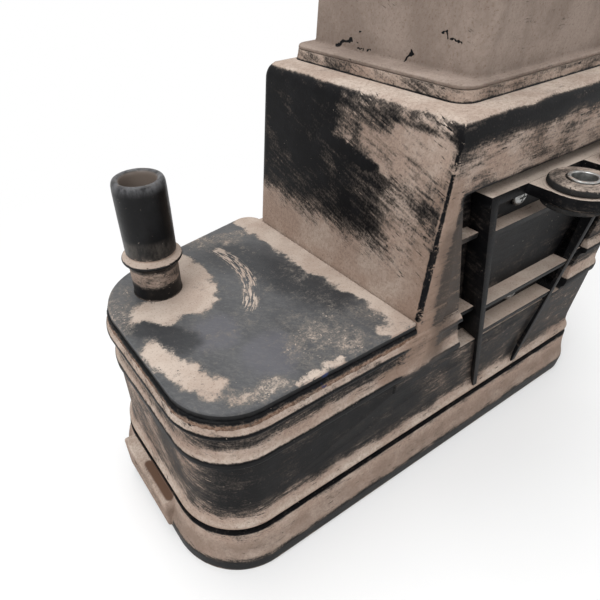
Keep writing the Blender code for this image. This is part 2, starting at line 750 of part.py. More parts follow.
def coil_spring(name, x, y, low, high, radius, wire, turns):
    """A compression spring; each end turn lies flat."""
    per_turn = 8
    steps = int(turns * per_turn)
    flat = 0.75  # of a turn at each end
    curve = bpy.data.curves.new(name, "CURVE")
    curve.dimensions = "3D"
    curve.bevel_depth = wire
    curve.bevel_resolution = 2
    curve.use_fill_caps = True
    line = curve.splines.new("POLY")
    line.points.add(steps)
    climb = high - low - 2 * wire
    for i in range(steps + 1):
        turn = i / per_turn
        share = min(max((turn - flat) / (turns - 2 * flat), 0.0), 1.0)
        lift = 2.2 * wire
        if turn < flat:
            z = lift * turn / flat
        elif turn > turns - flat:
            z = climb - lift * (turns - turn) / flat
        else:
            z = lift + (climb - 2 * lift) * share
        angle = math.tau * turn
        line.points[i].co = (radius * math.cos(angle), radius * math.sin(angle), low + wire + z, 1.0)
    made = bpy.data.objects.new(name, curve)
    made.location = (x, y, 0)
    curve.materials.append(steel(name + "_steel"))
    parts.objects.link(made)


def charcoal_beds():
    bed_stack("front", FRONT_CHAMBER_PLAN, DECK_TOP - DECK_THICK - RIB_DROP)
    bed_stack("rear", rear_stack_plan(), ROOF_UNDER - RIB_DROP)
    names = ("front_spring_near", "front_spring_far", "rear_spring_fore", "rear_spring_aft")
    for name, (x, y) in zip(names, spring_places()):
        low = COVER_FLOOR + GAP
        coil_spring(name, x, y, low, PLATE_LEVEL - GAP, SPRING_RADIUS, SPRING_WIRE, SPRING_TURNS)


# Vent box

def vent_box():
    flange_profile = [(0.0, VENT_FOOT), (-0.1 * MM, VENT_FLOOR)]
    shell = loft("vent_box", RISER_PLAN, flange_profile, black_plastic("vent_plastic"), steps=4)
    wall_profile = [(0.6 * MM, VENT_FLOOR - 0.5 * MM), (0.0, VENT_FLOOR + MM), (-VENT_LEAN, VENT_TOP)]
    walls = loft("vent_walls", VENT_PLAN, wall_profile, steps=4)
    join_on(shell, walls)
    space = [(-VENT_WALL, VENT_FLOOR + VENT_WALL), (-VENT_WALL - VENT_LEAN, VENT_TOP + BITE)]
    cut_away(shell, loft("vent_space", VENT_PLAN, space, steps=4))
    cut_away(shell, vent_passage("vent_floor_hole", VENT_FOOT - BITE, VENT_FLOOR + 2 * VENT_WALL))
    cut_away(shell, fresh_air_bore())


def filter_and_lid():
    inside = VENT_WALL + VENT_LEAN
    foot = VENT_FLOOR + VENT_WALL + CAGE_HEIGHT + GAP
    slab("dust_filter", VENT_PLAN, inside + 0.4 * MM, foot, foot + FILTER_THICK, felt("filter_foam"), steps=3)
    seat = VENT_TOP + GAP
    seal_profile = [
        (-0.7 * MM, seat),
        (-0.7 * MM, seat + SEAL_THICK),
        (-VENT_WALL - 0.2 * MM, seat + SEAL_THICK),
        (-VENT_WALL - 0.2 * MM, seat),
    ]
    loft("lid_seal", VENT_PLAN, seal_profile, rubber("seal_rubber"), steps=3, ring=True)
    under = seat + SEAL_THICK + GAP
    lid_profile = [
        (-inside - LID_CLEARANCE, foot + FILTER_THICK + GAP),
        (-inside - LID_CLEARANCE, under),
        (0.9 * MM, under),
        (0.9 * MM, under + LID_THICK - 0.8 * MM),
        (0.1 * MM, under + LID_THICK),
    ]
    lid = loft("vent_lid", VENT_PLAN, lid_profile, black_plastic("lid_plastic"), steps=4)
    skirt = inside + LID_CLEARANCE + LID_SKIRT
    hollow = [(-skirt, foot), (-skirt, under + GAP)]
    cut_away(lid, loft("lid_space", VENT_PLAN, hollow, steps=4))


def relief_valve():
    """A light disc over the roof passage: pressure lifts it against its spring, inside a slotted cage."""
    x = REAR_X / 2
    y = (NEAR_Y + RISER_NEAR_INSET + FAR_Y - RISER_FAR_INSET) / 2
    floor = VENT_FLOOR + VENT_WALL
    radius = VALVE_HOLE + DISC_LAP
    disc = [(0.0, DISC_THICK), (radius, DISC_THICK), (radius, 0.0), (0.0, 0.0)]
    turned("relief_disc", disc, (x, y, floor + GAP), rubber("relief_rubber"), 20)
    inner = radius + CAGE_WALL
    outer = inner + CAGE_WALL
    ceiling = CAGE_HEIGHT - CAGE_WALL
    cage_profile = [
        (0.0, CAGE_HEIGHT),
        (outer, CAGE_HEIGHT),
        (outer, GAP),
        (inner, GAP),
        (inner, ceiling),
        (0.0, ceiling),
    ]
    cage = turned("relief_cage", cage_profile, (x, y, floor), black_plastic("cage_plastic"), 20)
    for number in range(2):
        across = (outer + BITE, CAGE_WINDOW) if number else (CAGE_WINDOW, outer + BITE)
        slot = box(
            f"cage_window_{number}",
            (x - across[0], y - across[1], floor + GAP + MM),
            (x + across[0], y + across[1], floor + ceiling - MM),
        )
        cut_away(cage, slot)
    low = floor + GAP + DISC_THICK + GAP
    high = floor + ceiling - GAP
    coil_spring("relief_spring", x, y, low, high, RELIEF_SPRING_RADIUS, RELIEF_SPRING_WIRE, 3.0)


# Pipes on the rear wall

def wall_at(z):
    """X of the rear wall's outer face at a height on the tall chamber."""
    return REAR_X - DRAFT * (z - DECK_TOP) / (TALL_TOP - DECK_TOP)


def push_on_pipe(name, place_on_wall, lean, flange_reach, sunk):
    """A pipe with a barb for a hose; its flange rests on the wall, and its root fills the bore."""
    x, y, z = place_on_wall
    root = PIPE_RADIUS - 0.2 * MM
    barb = PIPE_RADIUS + 0.7 * MM
    profile = [
        (PIPE_RADIUS - 0.8 * MM, PIPE_LENGTH),
        (barb, PIPE_LENGTH - 4.0 * MM),
        (barb, PIPE_LENGTH - 5.2 * MM),
        (root, PIPE_LENGTH - 5.8 * MM),
        (root, PIPE_FLANGE),
        (PIPE_RADIUS + flange_reach, PIPE_FLANGE),
        (PIPE_RADIUS + flange_reach, GAP),
        (root, GAP),
        (root, -sunk),
        (PIPE_BORE, -sunk),
        (PIPE_BORE, PIPE_LENGTH),
    ]
    tilt = (0, math.pi / 2 - lean, 0)
    turned(name, profile, (x, y, z), black_plastic(name + "_plastic"), 20, tilt=tilt)


def rear_wall_bores():
    """The holes for the purge pipe, square to the leaning wall, and for the valve's duct."""
    bore = cylinder("purge_hole", PIPE_RADIUS, (0, 0, -8 * MM), (0, 0, 8 * MM), segments=28)
    bore.rotation_euler = (0, math.pi / 2 - WALL_ANGLE, 0)
    bore.location = (wall_at(PURGE_Z), PURGE_Y, PURGE_Z)
    ends = ((REAR_X - WALL - DUCT_PROUD - 3 * BITE, VALVE_Y, DUCT_Z), (REAR_X + 4 * MM, VALVE_Y, DUCT_Z))
    return [bore, cylinder("valve_duct_hole", DUCT_RADIUS + GAP, *ends, segments=24)]


def fresh_air_bore():
    ends = ((VENT_REAR_X - 8 * MM, FRESH_Y, FRESH_Z), (VENT_REAR_X + 8 * MM, FRESH_Y, FRESH_Z))
    return cylinder("fresh_air_hole", PIPE_RADIUS, *ends, segments=28)


def pipes():
    purge_place = (wall_at(PURGE_Z), PURGE_Y, PURGE_Z)
    push_on_pipe("purge_pipe", purge_place, WALL_ANGLE, 4.0 * MM, WALL)
    fresh_place = (VENT_REAR_X, FRESH_Y, FRESH_Z)
    push_on_pipe("fresh_air_pipe", fresh_place, 0.0, 2.0 * MM, VENT_WALL)


# Shut-off valve


def valve_screw_places():
    reach = VALVE_RADIUS + 8.5 * MM
    middle = VALVE_FOOT + VALVE_HEIGHT * 0.55
    return [(VALVE_Y - reach, middle), (VALVE_Y + reach, middle)]


def valve_screw_holes(name, start_x, end_x):
    made = []
    for number, (y, z) in enumerate(valve_screw_places()):
        ends = ((start_x, y, z), (end_x, y, z))
        made.append(cylinder(f"{name}_{number}", SCREW_RADIUS + GAP, *ends, segments=12))
    return made


def valve_body():
    """The valve's housing: a round can on a flange, open at the top, with the duct that enters the tank."""
    x, y = VALVE_X, VALVE_Y
    foot = VALVE_FOOT
    top = foot + VALVE_HEIGHT
    can = cylinder("valve_body", VALVE_RADIUS, (x, y, foot), (x, y, top), black_plastic("valve_plastic"), 32)
    flange = box(
        "valve_flange",
        (VALVE_WALL_X + GAP, y - FLANGE_REACH, foot + 1.5 * MM),
        (VALVE_WALL_X + GAP + FLANGE_THICK, y + FLANGE_REACH, top - 1.7 * MM),
        bevel=1.1 * MM,
    )
    web = box(
        "valve_web",
        (VALVE_WALL_X + GAP + BITE, y - VALVE_RADIUS * 0.7, foot + 2.5 * MM),
        (x - COIL_RADIUS - 1.3 * MM, y + VALVE_RADIUS * 0.66, top - 2.9 * MM),
    )
    duct_start = REAR_X - WALL - DUCT_PROUD
    duct = cylinder("valve_duct", DUCT_RADIUS, (duct_start, y, DUCT_Z), (x, y, DUCT_Z), segments=24)
    join_on(can, flange, web, duct)
    well_ends = ((x, y, foot + WELL_FLOOR), (x, y, top + BITE))
    well = cylinder("valve_well", COIL_RADIUS + GAP, *well_ends, segments=32)
    chamber_ends = ((x, y, foot + CHAMBER_FLOOR), (x, y, foot + WELL_FLOOR + BITE))
    chamber = cylinder("valve_chamber", CHAMBER_RADIUS, *chamber_ends, segments=24)
    duct_ends = ((duct_start - BITE, y, DUCT_Z), (x, y, DUCT_Z))
    duct_bore = cylinder("valve_duct_bore", DUCT_RADIUS - DUCT_WALL, *duct_ends, segments=16)
    inlet_ends = ((x, y, foot - BITE), (x, y, foot + CHAMBER_FLOOR + BITE))
    inlet = cylinder("valve_inlet_bore", INLET_RADIUS, *inlet_ends, segments=16)
    cut_away(can, well, chamber, duct_bore, inlet)
    flange_end = VALVE_WALL_X + FLANGE_THICK + 2 * BITE
    cut_away(can, *valve_screw_holes("valve_flange_hole", VALVE_WALL_X - BITE, flange_end))


def valve_inside():
    x, y = VALVE_X, VALVE_Y
    coil_foot = VALVE_FOOT + WELL_FLOOR + GAP
    bore = PLUNGER_RADIUS + 0.5 * MM
    turned(
        "valve_coil",
        [
            (COIL_RADIUS, COIL_HEIGHT),
            (COIL_RADIUS, COIL_HEIGHT - 1.6 * MM),
            (COIL_RADIUS - 1.2 * MM, COIL_HEIGHT - 1.6 * MM),
            (COIL_RADIUS - 1.2 * MM, 1.6 * MM),
            (COIL_RADIUS, 1.6 * MM),
            (COIL_RADIUS, 0.0),
            (bore, 0.0),
            (bore, COIL_HEIGHT),
        ],
        (x, y, coil_foot),
        material("coil_copper", (0.55, 0.25, 0.1), 0.4, 0.8),
        28,
    )
    seat = VALVE_FOOT + CHAMBER_FLOOR + GAP
    turned(
        "plunger_seal",
        [(SEAL_RADIUS, 2.0 * MM), (SEAL_RADIUS, 0.0), (1.2 * MM, 0.0), (1.2 * MM, 2.0 * MM)],
        (x, y, seat),
        rubber("plunger_rubber"),
        20,
    )
    stem = seat + 2.0 * MM + GAP
    plunger_top = coil_foot + 10.0 * MM
    turned(
        "valve_plunger",
        [
            (0.0, plunger_top - stem),
            (PLUNGER_RADIUS, plunger_top - stem),
            (PLUNGER_RADIUS, 1.6 * MM),
            (5.0 * MM, 1.6 * MM),
            (5.0 * MM, 0.0),
            (0.9 * MM, 0.0),
            (0.9 * MM, -1.6 * MM),
            (0.0, -1.6 * MM),
        ],
        (x, y, stem),
        steel("plunger_steel"),
        20,
    )
    core_foot = coil_foot + COIL_HEIGHT - 4.0 * MM
    low = plunger_top + GAP
    high = core_foot - GAP
    coil_spring("plunger_spring", x, y, low, high, PLUNGER_SPRING_RADIUS, PLUNGER_SPRING_WIRE, SPRING_TURNS)
    core_top = VALVE_FOOT + VALVE_HEIGHT - 5.0 * MM
    turned(
        "magnet_core",
        [
            (0.0, core_top - core_foot),
            (COIL_RADIUS - 0.6 * MM, core_top - core_foot),
            (COIL_RADIUS - 0.6 * MM, coil_foot + COIL_HEIGHT + GAP - core_foot),
            (PLUNGER_RADIUS, coil_foot + COIL_HEIGHT + GAP - core_foot),
            (PLUNGER_RADIUS, 0.0),
            (0.0, 0.0),
        ],
        (x, y, core_foot),
        steel("core_steel"),
        24,
    )


def valve_cap():
    """The plug-in cap with the open shroud of the electrical connector, pointing to the rear."""
    x, y = VALVE_X, VALVE_Y
    top = VALVE_FOOT + VALVE_HEIGHT
    inner_foot = top - 4.4 * MM
    cap = turned(
        "valve_cap",
        [
            (0.0, CAP_THICK),
            (VALVE_RADIUS - 0.8 * MM, CAP_THICK),
            (VALVE_RADIUS, CAP_THICK - 0.8 * MM),
            (VALVE_RADIUS, GAP),
            (COIL_RADIUS - 0.2 * MM, GAP),
            (COIL_RADIUS - 0.2 * MM, inner_foot - top),
            (0.0, inner_foot - top),
        ],
        (x, y, top),
        black_plastic("cap_plastic"),
        32,
    )
    shroud_foot = top + CAP_THICK - BITE
    half = SHROUD_WIDTH / 2
    back = x + 6.0 * MM
    shroud = box(
        "connector_shroud",
        (x - 7.0 * MM, y - half, shroud_foot),
        (x + SHROUD_REACH, y + half, shroud_foot + SHROUD_HEIGHT),
        bevel=1.4 * MM,
    )
    mouth = box(
        "connector_mouth",
        (back, y - half + SHROUD_WALL, shroud_foot + SHROUD_WALL),
        (x + SHROUD_REACH + 2 * BITE, y + half - SHROUD_WALL, shroud_foot + SHROUD_HEIGHT - SHROUD_WALL),
        bevel=0.8 * MM,
    )
    join_on(cap, shroud)
    cut_away(cap, mouth)
    pin_z = shroud_foot + SHROUD_HEIGHT / 2
    for name, side in (("connector_pin_near", -1), ("connector_pin_far", 1)):
        pin_y = y + side * PIN_SPACING / 2
        pin_low = (back - 4.2 * MM, pin_y - PIN_WIDTH / 2, pin_z - PIN_THICK / 2)
        pin_high = (back + 12.0 * MM, pin_y + PIN_WIDTH / 2, pin_z + PIN_THICK / 2)
        box(name, pin_low, pin_high, material(name + "_tin", (0.7, 0.68, 0.6), 0.3, 1.0))
        hole_low = [value - GAP for value in pin_low]
        hole_high = (back + BITE, pin_high[1] + GAP, pin_high[2] + GAP)
        cut_away(cap, box(name + "_hole", hole_low, hole_high))


def screw(name, head_centre, direction, length):
    """A pan-head screw; its head's underside is at head_centre."""
    profile = [
        (0.0, SCREW_HEAD_HEIGHT),
        (SCREW_HEAD_RADIUS * 0.7, SCREW_HEAD_HEIGHT),
        (SCREW_HEAD_RADIUS * 0.95, SCREW_HEAD_HEIGHT * 0.6),
        (SCREW_HEAD_RADIUS, 0.0),
        (SCREW_RADIUS, 0.0),
        (SCREW_RADIUS, -length + SCREW_RADIUS),
        (SCREW_RADIUS * 0.4, -length),
        (0.0, -length),
    ]
    made = turned(name, profile, head_centre, steel(name + "_steel"), 16)
    made.rotation_euler = Vector((0, 0, 1)).rotation_difference(Vector(direction)).to_euler()
    return made


def valve_screws():
    for name, (y, z) in zip(("valve_screw_near", "valve_screw_far"), valve_screw_places()):
        seat = VALVE_WALL_X + 2 * GAP + FLANGE_THICK
        screw(name, (seat, y, z), (1, 0, 0), FLANGE_THICK + 3.2 * MM)


# Side bracket

def bracket_face(z):
    """Y of the bracket's outer face, which leans out towards the foot like the wall behind it."""
    share = (BRACKET_TOP - z) / (BRACKET_TOP - BRACKET_FOOT)
    return NEAR_Y - 0.2 * MM - share * 4.0 * MM


def bracket_front(z):
    return BRACKET_START + BRACKET_LEAN * (BRACKET_TOP - z) / (BRACKET_TOP - BRACKET_FOOT)


def leg(name, front):
    """One leg: it follows the leaning edge of the bracket, deep in the pocket and thin below it."""
    proud = NEAR_Y - 1.9 * MM
    levels = [
        (BRACKET_FOOT, NEAR_Y - 3.5 * MM),
        (BRACKET_FOOT + 4.0 * MM, NEAR_Y - 2.6 * MM),
        (BRACKET_FOOT + 10.0 * MM, proud),
        (POCKET_FOOT + GAP, proud),
        (POCKET_FOOT + WEB_LIFT, BRACKET_BACK_Y),
        (BRACKET_TOP, BRACKET_BACK_Y),
    ]
    shape = bmesh.new()
    rings = []
    for z, back_y in levels:
        rise = (z - BRACKET_FOOT) / (BRACKET_TOP - BRACKET_FOOT)
        width = BRACKET_BAR * (0.7 + 0.3 * rise)
        start = bracket_front(z)
        ends = (start, start + width) if front else (REAR_X - start - width, REAR_X - start)
        face = bracket_face(z)
        corners = ((ends[0], face), (ends[1], face), (ends[1], back_y), (ends[0], back_y))
        rings.append([shape.verts.new((x, y, z)) for x, y in corners])
    for lower, upper in zip(rings, rings[1:]):
        for i in range(4):
            shape.faces.new((lower[i - 1], lower[i], upper[i], upper[i - 1]))
    shape.faces.new(rings[0])
    shape.faces.new(rings[-1])
    return place(name, mesh_from(name, shape), None)


def bracket_screw_places():
    high = BRACKET_TOP - 8.0 * MM
    low = POCKET_FOOT + 11.5 * MM
    return [
        ("bracket_screw_front", REAR_X * 0.34, high),
        ("bracket_screw_rear", REAR_X * 0.66, high),
        ("bracket_screw_low", REAR_X * 0.5, low),
    ]


def bracket_screw_holes(start_y, end_y):
    made = []
    for name, x, z in bracket_screw_places():
        made.append(cylinder(name + "_hole", SCREW_RADIUS + GAP, (x, start_y, z), (x, end_y, z), segments=12))
    return made


def ear_places():
    """X of each mounting ear's centre."""
    return [REAR_X * share for share in EAR_SHARES]


def side_bracket():
    """The frame in the side pocket: leaning legs, a top rail, cross ribs, a back web and two mounting ears."""
    foot = POCKET_FOOT + WEB_LIFT
    web_points = [
        (bracket_front(foot) + BITE, foot),
        (REAR_X - bracket_front(foot) - BITE, foot),
        (REAR_X - bracket_front(BRACKET_TOP) - BITE, BRACKET_TOP - 0.4 * MM),
        (bracket_front(BRACKET_TOP) + BITE, BRACKET_TOP - 0.4 * MM),
    ]
    web_y = BRACKET_BACK_Y - WEB_THICK
    web_back_y = BRACKET_BACK_Y - 0.02 * MM
    frame = prism("side_bracket", web_points, web_y, web_back_y, black_plastic("bracket_plastic"))
    rail_start = bracket_front(BRACKET_TOP)
    rail = box(
        "bracket_rail",
        (rail_start + 0.5 * MM, bracket_face(BRACKET_TOP) + 0.05 * MM, BRACKET_TOP - EAR_THICK),
        (REAR_X - rail_start - 0.5 * MM, BRACKET_BACK_Y - 0.05 * MM, BRACKET_TOP - 0.05 * MM),
    )
    join_on(frame, leg("front_leg", True), leg("rear_leg", False), rail)
    for number, level in enumerate((POCKET_FOOT + 5.6 * MM, *SHELF_LEVELS)):
        rib = box(
            f"bracket_rib_{number}",
            (bracket_front(level) + BITE, bracket_face(level) + 0.3 * MM, level - SHELF_THICK),
            (REAR_X - bracket_front(level) - BITE, BRACKET_BACK_Y - 0.1 * MM, level),
        )
        join_on(frame, rib)
    ear_y = bracket_face(BRACKET_TOP) - EAR_REACH + EAR_RADIUS
    low = BRACKET_TOP - EAR_THICK + 0.1 * MM
    high = BRACKET_TOP - 0.1 * MM
    for number, x in enumerate(ear_places()):
        tongue = box(
            f"ear_tongue_{number}",
            (x - EAR_RADIUS + 0.5 * MM, ear_y, low + 0.05 * MM),
            (x + EAR_RADIUS - 0.5 * MM, bracket_face(BRACKET_TOP) + 2 * MM, high - 0.05 * MM),
        )
        ear = cylinder(f"ear_{number}", EAR_RADIUS, (x, ear_y, low), (x, ear_y, high), segments=24)
        join_on(frame, tongue, ear)
        hole_ends = ((x, ear_y, low - BITE), (x, ear_y, high + BITE))
        cut_away(frame, cylinder(f"ear_hole_{number}", BUSH_RADIUS, *hole_ends, segments=24))
    cut_away(frame, *bracket_screw_holes(web_y - BITE, BRACKET_BACK_Y + BITE))
    for name, x, z in bracket_screw_places():
        screw(name, (x, web_y - GAP, z), (0, -1, 0), WEB_THICK + 2.0 * MM)


def mounting_bushes():
    """A grooved rubber bush and a steel sleeve in each ear; the vehicle's bolt goes through the sleeve."""
    ear_y = bracket_face(BRACKET_TOP) - EAR_REACH + EAR_RADIUS
    groove = EAR_THICK / 2 + GAP
    rim = groove + 2.4 * MM
    for name, x in zip(("fore", "aft"), ear_places()):
        centre = (x, ear_y, BRACKET_TOP - EAR_THICK / 2)
        turned(
            f"mounting_bush_{name}",
            [
                (EAR_RADIUS - 1.6 * MM, rim),
                (EAR_RADIUS - 0.8 * MM, rim - 0.8 * MM),
                (EAR_RADIUS - 0.8 * MM, groove),
                (BUSH_RADIUS - GAP, groove),
                (BUSH_RADIUS - GAP, -groove),
                (EAR_RADIUS - 0.8 * MM, -groove),
                (EAR_RADIUS - 0.8 * MM, -rim + 0.8 * MM),
                (EAR_RADIUS - 1.6 * MM, -rim),
                (SLEEVE_RADIUS + GAP, -rim),
                (SLEEVE_RADIUS + GAP, rim),
            ],
            centre,
            rubber(f"bush_rubber_{name}"),
            24,
        )
        turned(
            f"bush_sleeve_{name}",
            [
                (SLEEVE_RADIUS, rim + 0.6 * MM),
                (SLEEVE_RADIUS, -rim - 0.6 * MM),
                (MOUNT_BOLT_RADIUS, -rim - 0.6 * MM),
                (MOUNT_BOLT_RADIUS, rim + 0.6 * MM),
            ],
            centre,
            steel(f"sleeve_steel_{name}"),
            24,
        )


# Build

housing()
deck_cover()
hose_spigot()
bottom_cover()
charcoal_beds()
vent_box()
filter_and_lid()
relief_valve()
pipes()
valve_body()
valve_inside()
valve_cap()
valve_screws()
side_bracket()
mounting_bushes()
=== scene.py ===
"""Looks of the dust-caked fuel vapour canister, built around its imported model.

The fine outer shells repeat the model's own outlines with rounder corners and softer edges, and most surfaces
lie under procedural clay dust. Sizes below are in millimetres unless a name says otherwise.
"""

import math

import bmesh
import bpy
from mathutils import Matrix, Vector, noise


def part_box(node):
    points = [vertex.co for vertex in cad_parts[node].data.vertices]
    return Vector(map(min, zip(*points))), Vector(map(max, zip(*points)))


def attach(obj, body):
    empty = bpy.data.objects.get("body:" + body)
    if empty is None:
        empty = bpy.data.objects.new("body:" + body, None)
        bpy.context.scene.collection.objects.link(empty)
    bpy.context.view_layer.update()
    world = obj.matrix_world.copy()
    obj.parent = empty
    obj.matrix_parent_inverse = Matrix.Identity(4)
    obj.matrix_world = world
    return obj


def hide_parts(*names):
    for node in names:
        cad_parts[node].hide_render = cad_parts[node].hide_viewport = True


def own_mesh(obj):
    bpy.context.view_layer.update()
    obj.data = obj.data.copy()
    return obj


MM = 0.001
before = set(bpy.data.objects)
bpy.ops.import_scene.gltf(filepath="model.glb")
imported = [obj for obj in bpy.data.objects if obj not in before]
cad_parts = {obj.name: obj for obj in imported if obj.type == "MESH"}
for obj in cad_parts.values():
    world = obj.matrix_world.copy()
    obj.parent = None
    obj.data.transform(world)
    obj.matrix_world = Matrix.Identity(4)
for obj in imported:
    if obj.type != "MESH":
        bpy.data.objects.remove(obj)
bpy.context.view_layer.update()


def node_box(name):
    """A CAD node's lowest and highest corners, in millimetres."""
    low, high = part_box(name)
    return low / MM, high / MM


# Sizes read from the frame
deck_low, deck_high = node_box("deck_cover")
shell_low, shell_high = node_box("housing")
cover_high = node_box("bottom_cover")[1]
spigot_low, spigot_high = node_box("hose_spigot")
vent_high = node_box("vent_box")[1]
lid_low, lid_high = node_box("vent_lid")
DECK_TOP = deck_high.z
NEAR_Y = deck_low.y
FAR_Y = -NEAR_Y
STEP_FAR_Y = deck_high.y
NOSE_X = deck_low.x
COVER_TOP = cover_high.z
HOUSING_FOOT = shell_low.z
RISER_TOP = shell_high.z
SPIGOT = Vector(((spigot_low.x + spigot_high.x) / 2, (spigot_low.y + spigot_high.y) / 2, DECK_TOP))
LID_MIDDLE = (lid_low + lid_high) / 2

# Sizes that the frame doesn't name
GAP = 0.3
REAR_X = 144.0
SKIRT_FLARE = cover_high.x - REAR_X
NOSE_FAR_Y = FAR_Y - 11.8
REAR_RADIUS = 8.0
DECK_THICK = 5.2
WALL = 3.0
DRAFT = 2.3
RISER_HEIGHT = 3.6
TALL_TOP = RISER_TOP - RISER_HEIGHT
HOUSING_TOP = DECK_TOP - DECK_THICK - GAP
POCKET_DEPTH = 8.0
POCKET_TOP = TALL_TOP - 22.7
POCKET_FOOT = DECK_TOP - 30.2
POCKET_START = 9.0
POCKET_LEAN = 24.0
SHELF_LEVELS = (DECK_TOP - 9.4, DECK_TOP + 27.8)
SHELF_THICK = 2.4
WALL_ANGLE = math.atan(DRAFT / (TALL_TOP - DECK_TOP))
PORT_RADIUS = 8.0
PURGE_HEIGHT = 138.0
VENT_FOOT = RISER_TOP + GAP
VENT_FLOOR = VENT_FOOT + 1.3


def draft_at(z):
    """How far a tall wall has leaned in at a height."""
    return DRAFT * (z - DECK_TOP) / (TALL_TOP - DECK_TOP)


PURGE_PLACE = (REAR_X - draft_at(PURGE_HEIGHT), 24.0, PURGE_HEIGHT)
FRESH_PLACE = (REAR_X - 25.0, 20.0, VENT_FLOOR + 12.6)
DUCT_PLACE = (REAR_X, -14.0, DECK_TOP - 30.2)
FACING_NEAR = Matrix.Rotation(math.pi / 2, 3, "X")
FACING_REAR = Matrix.Rotation(math.pi / 2, 3, "Y")
OFF_REAR_WALL = Matrix.Rotation(math.pi / 2 - WALL_ANGLE, 3, "Y")


# Mesh helpers

def new_object(name, data):
    made = bpy.data.objects.new(name, data)
    bpy.context.scene.collection.objects.link(made)
    return made


def smooth(target, angle=35):
    target.data.shade_smooth()
    target.data.set_sharp_from_angle(angle=math.radians(angle))
    return target


def from_bmesh(name, shape, smooth_angle=35):
    bmesh.ops.recalc_face_normals(shape, faces=shape.faces)
    mesh = bpy.data.meshes.new(name)
    shape.to_mesh(mesh)
    shape.free()
    return smooth(new_object(name, mesh), smooth_angle)


def eased(points, radius, cuts=4):
    """A profile whose inner corners are rounded: each becomes a short curve of about that radius."""
    made = [Vector(points[0])]
    for before, corner, after in zip(points, points[1:], points[2:]):
        before, corner, after = Vector(before), Vector(corner), Vector(after)
        into = before - corner
        out = after - corner
        reach = min(radius, into.length * 0.45, out.length * 0.45)
        start = corner + into.normalized() * reach
        end = corner + out.normalized() * reach
        for step in range(cuts + 1):
            t = step / cuts
            made.append(start * (1 - t) ** 2 + corner * 2 * t * (1 - t) + end * t * t)
    made.append(Vector(points[-1]))
    return made


def outline(corners, offset, steps):
    """A convex outline's points, its sides moved out by offset and its corners rounded."""
    points = []
    for i, (x, y, radius) in enumerate(corners):
        here = Vector((x, y))
        before = (here - Vector(corners[i - 1][:2])).normalized()
        after = (Vector(corners[(i + 1) % len(corners)][:2]) - here).normalized()
        turn = before.angle(after)
        normal_in = Vector((before.y, -before.x))
        normal_out = Vector((after.y, -after.x))
        corner = here + (normal_in + normal_out).normalized() * offset / math.cos(turn / 2)
        rounding = max(radius + offset, 0.4)
        centre = corner - before * rounding * math.tan(turn / 2) - normal_in * rounding
        start = math.atan2(normal_in.y, normal_in.x)
        for step in range(steps + 1):
            angle = start + turn * step / steps
            points.append(centre + rounding * Vector((math.cos(angle), math.sin(angle))))
    return points


def matched(corners, offset, steps, longest):
    """The offset outline cut into as many pieces as the plain one, so that the loops pair up."""
    plain = outline(corners, 0.0, steps)
    moved = outline(corners, offset, steps)
    made = []
    for i, point in enumerate(plain):
        pieces = max(1, math.ceil((plain[(i + 1) % len(plain)] - point).length / longest))
        following = moved[(i + 1) % len(moved)]
        made += [moved[i].lerp(following, piece / pieces) for piece in range(pieces)]
    return made


def loft(name, corners, profile, steps=16, ring=False, longest=1000.0, wobble=None):
    """A body through an outline at each (offset, height) of the profile, capped or closed as a ring."""
    shape = bmesh.new()
    loops = []
    for offset, height in profile:
        loop = []
        for point in matched(corners, offset, steps, longest):
            place = Vector((point.x, point.y, height))
            if wobble:
                place = wobble(place)
            loop.append(shape.verts.new(place * MM))
        loops.append(loop)
    pairs = list(zip(loops, loops[1:]))
    if ring:
        pairs.append((loops[-1], loops[0]))
    for lower, upper in pairs:
        for i in range(len(lower)):
            shape.faces.new((lower[i - 1], lower[i], upper[i], upper[i - 1]))
    if not ring:
        shape.faces.new(loops[0])
        shape.faces.new(loops[-1])
    return from_bmesh(name, shape)


def lathe(name, profile, place, steps=96, turn=None):
    """A closed (radius, height) profile turned round a vertical axis, then turned by a matrix and placed."""
    shape = bmesh.new()
    rows = []
    for radius, height in profile:
        if radius < 1e-6:
            rows.append([shape.verts.new((0, 0, height * MM))])
            continue
        angles = [math.tau * step / steps for step in range(steps)]
        points = [Vector((radius * math.cos(angle), radius * math.sin(angle), height)) for angle in angles]
        rows.append([shape.verts.new(point * MM) for point in points])
    pairs = list(zip(rows, rows[1:]))
    if len(rows[0]) > 1:
        pairs.append((rows[-1], rows[0]))
    for upper, lower in pairs:
        for i in range(steps):
            above = [upper[i - 1], upper[i]] if len(upper) > 1 else upper
            below = [lower[i], lower[i - 1]] if len(lower) > 1 else lower
            shape.faces.new(above + below)
    made = from_bmesh(name, shape)
    matrix = Matrix.Translation(Vector(place) * MM)
    if turn:
        matrix = matrix @ turn.to_4x4()
    made.data.transform(matrix)
    return made


def drill(name, radius, top, foot, place, steps=64, turn=None):
    """A cylinder that a hole is cut with, from top to foot along the turned vertical."""
    return lathe(name, [(0, top), (radius, top), (radius, foot), (0, foot)], place, steps, turn)


def rounded(shape, width, segments):
    edges = list(shape.edges)
    bmesh.ops.bevel(shape, geom=edges, offset=width * MM, segments=segments, profile=0.5, affect="EDGES")


def block(name, low, high, bevel=0.0, segments=3):
    """A box between two corners with rounded edges."""
    shape = bmesh.new()
    bmesh.ops.create_cube(shape, size=1.0)
    for vertex in shape.verts:
        for axis in range(3):
            middle = (low[axis] + high[axis]) / 2
            vertex.co[axis] = (middle + vertex.co[axis] * (high[axis] - low[axis])) * MM
    if bevel:
        rounded(shape, bevel, segments)
    return from_bmesh(name, shape)


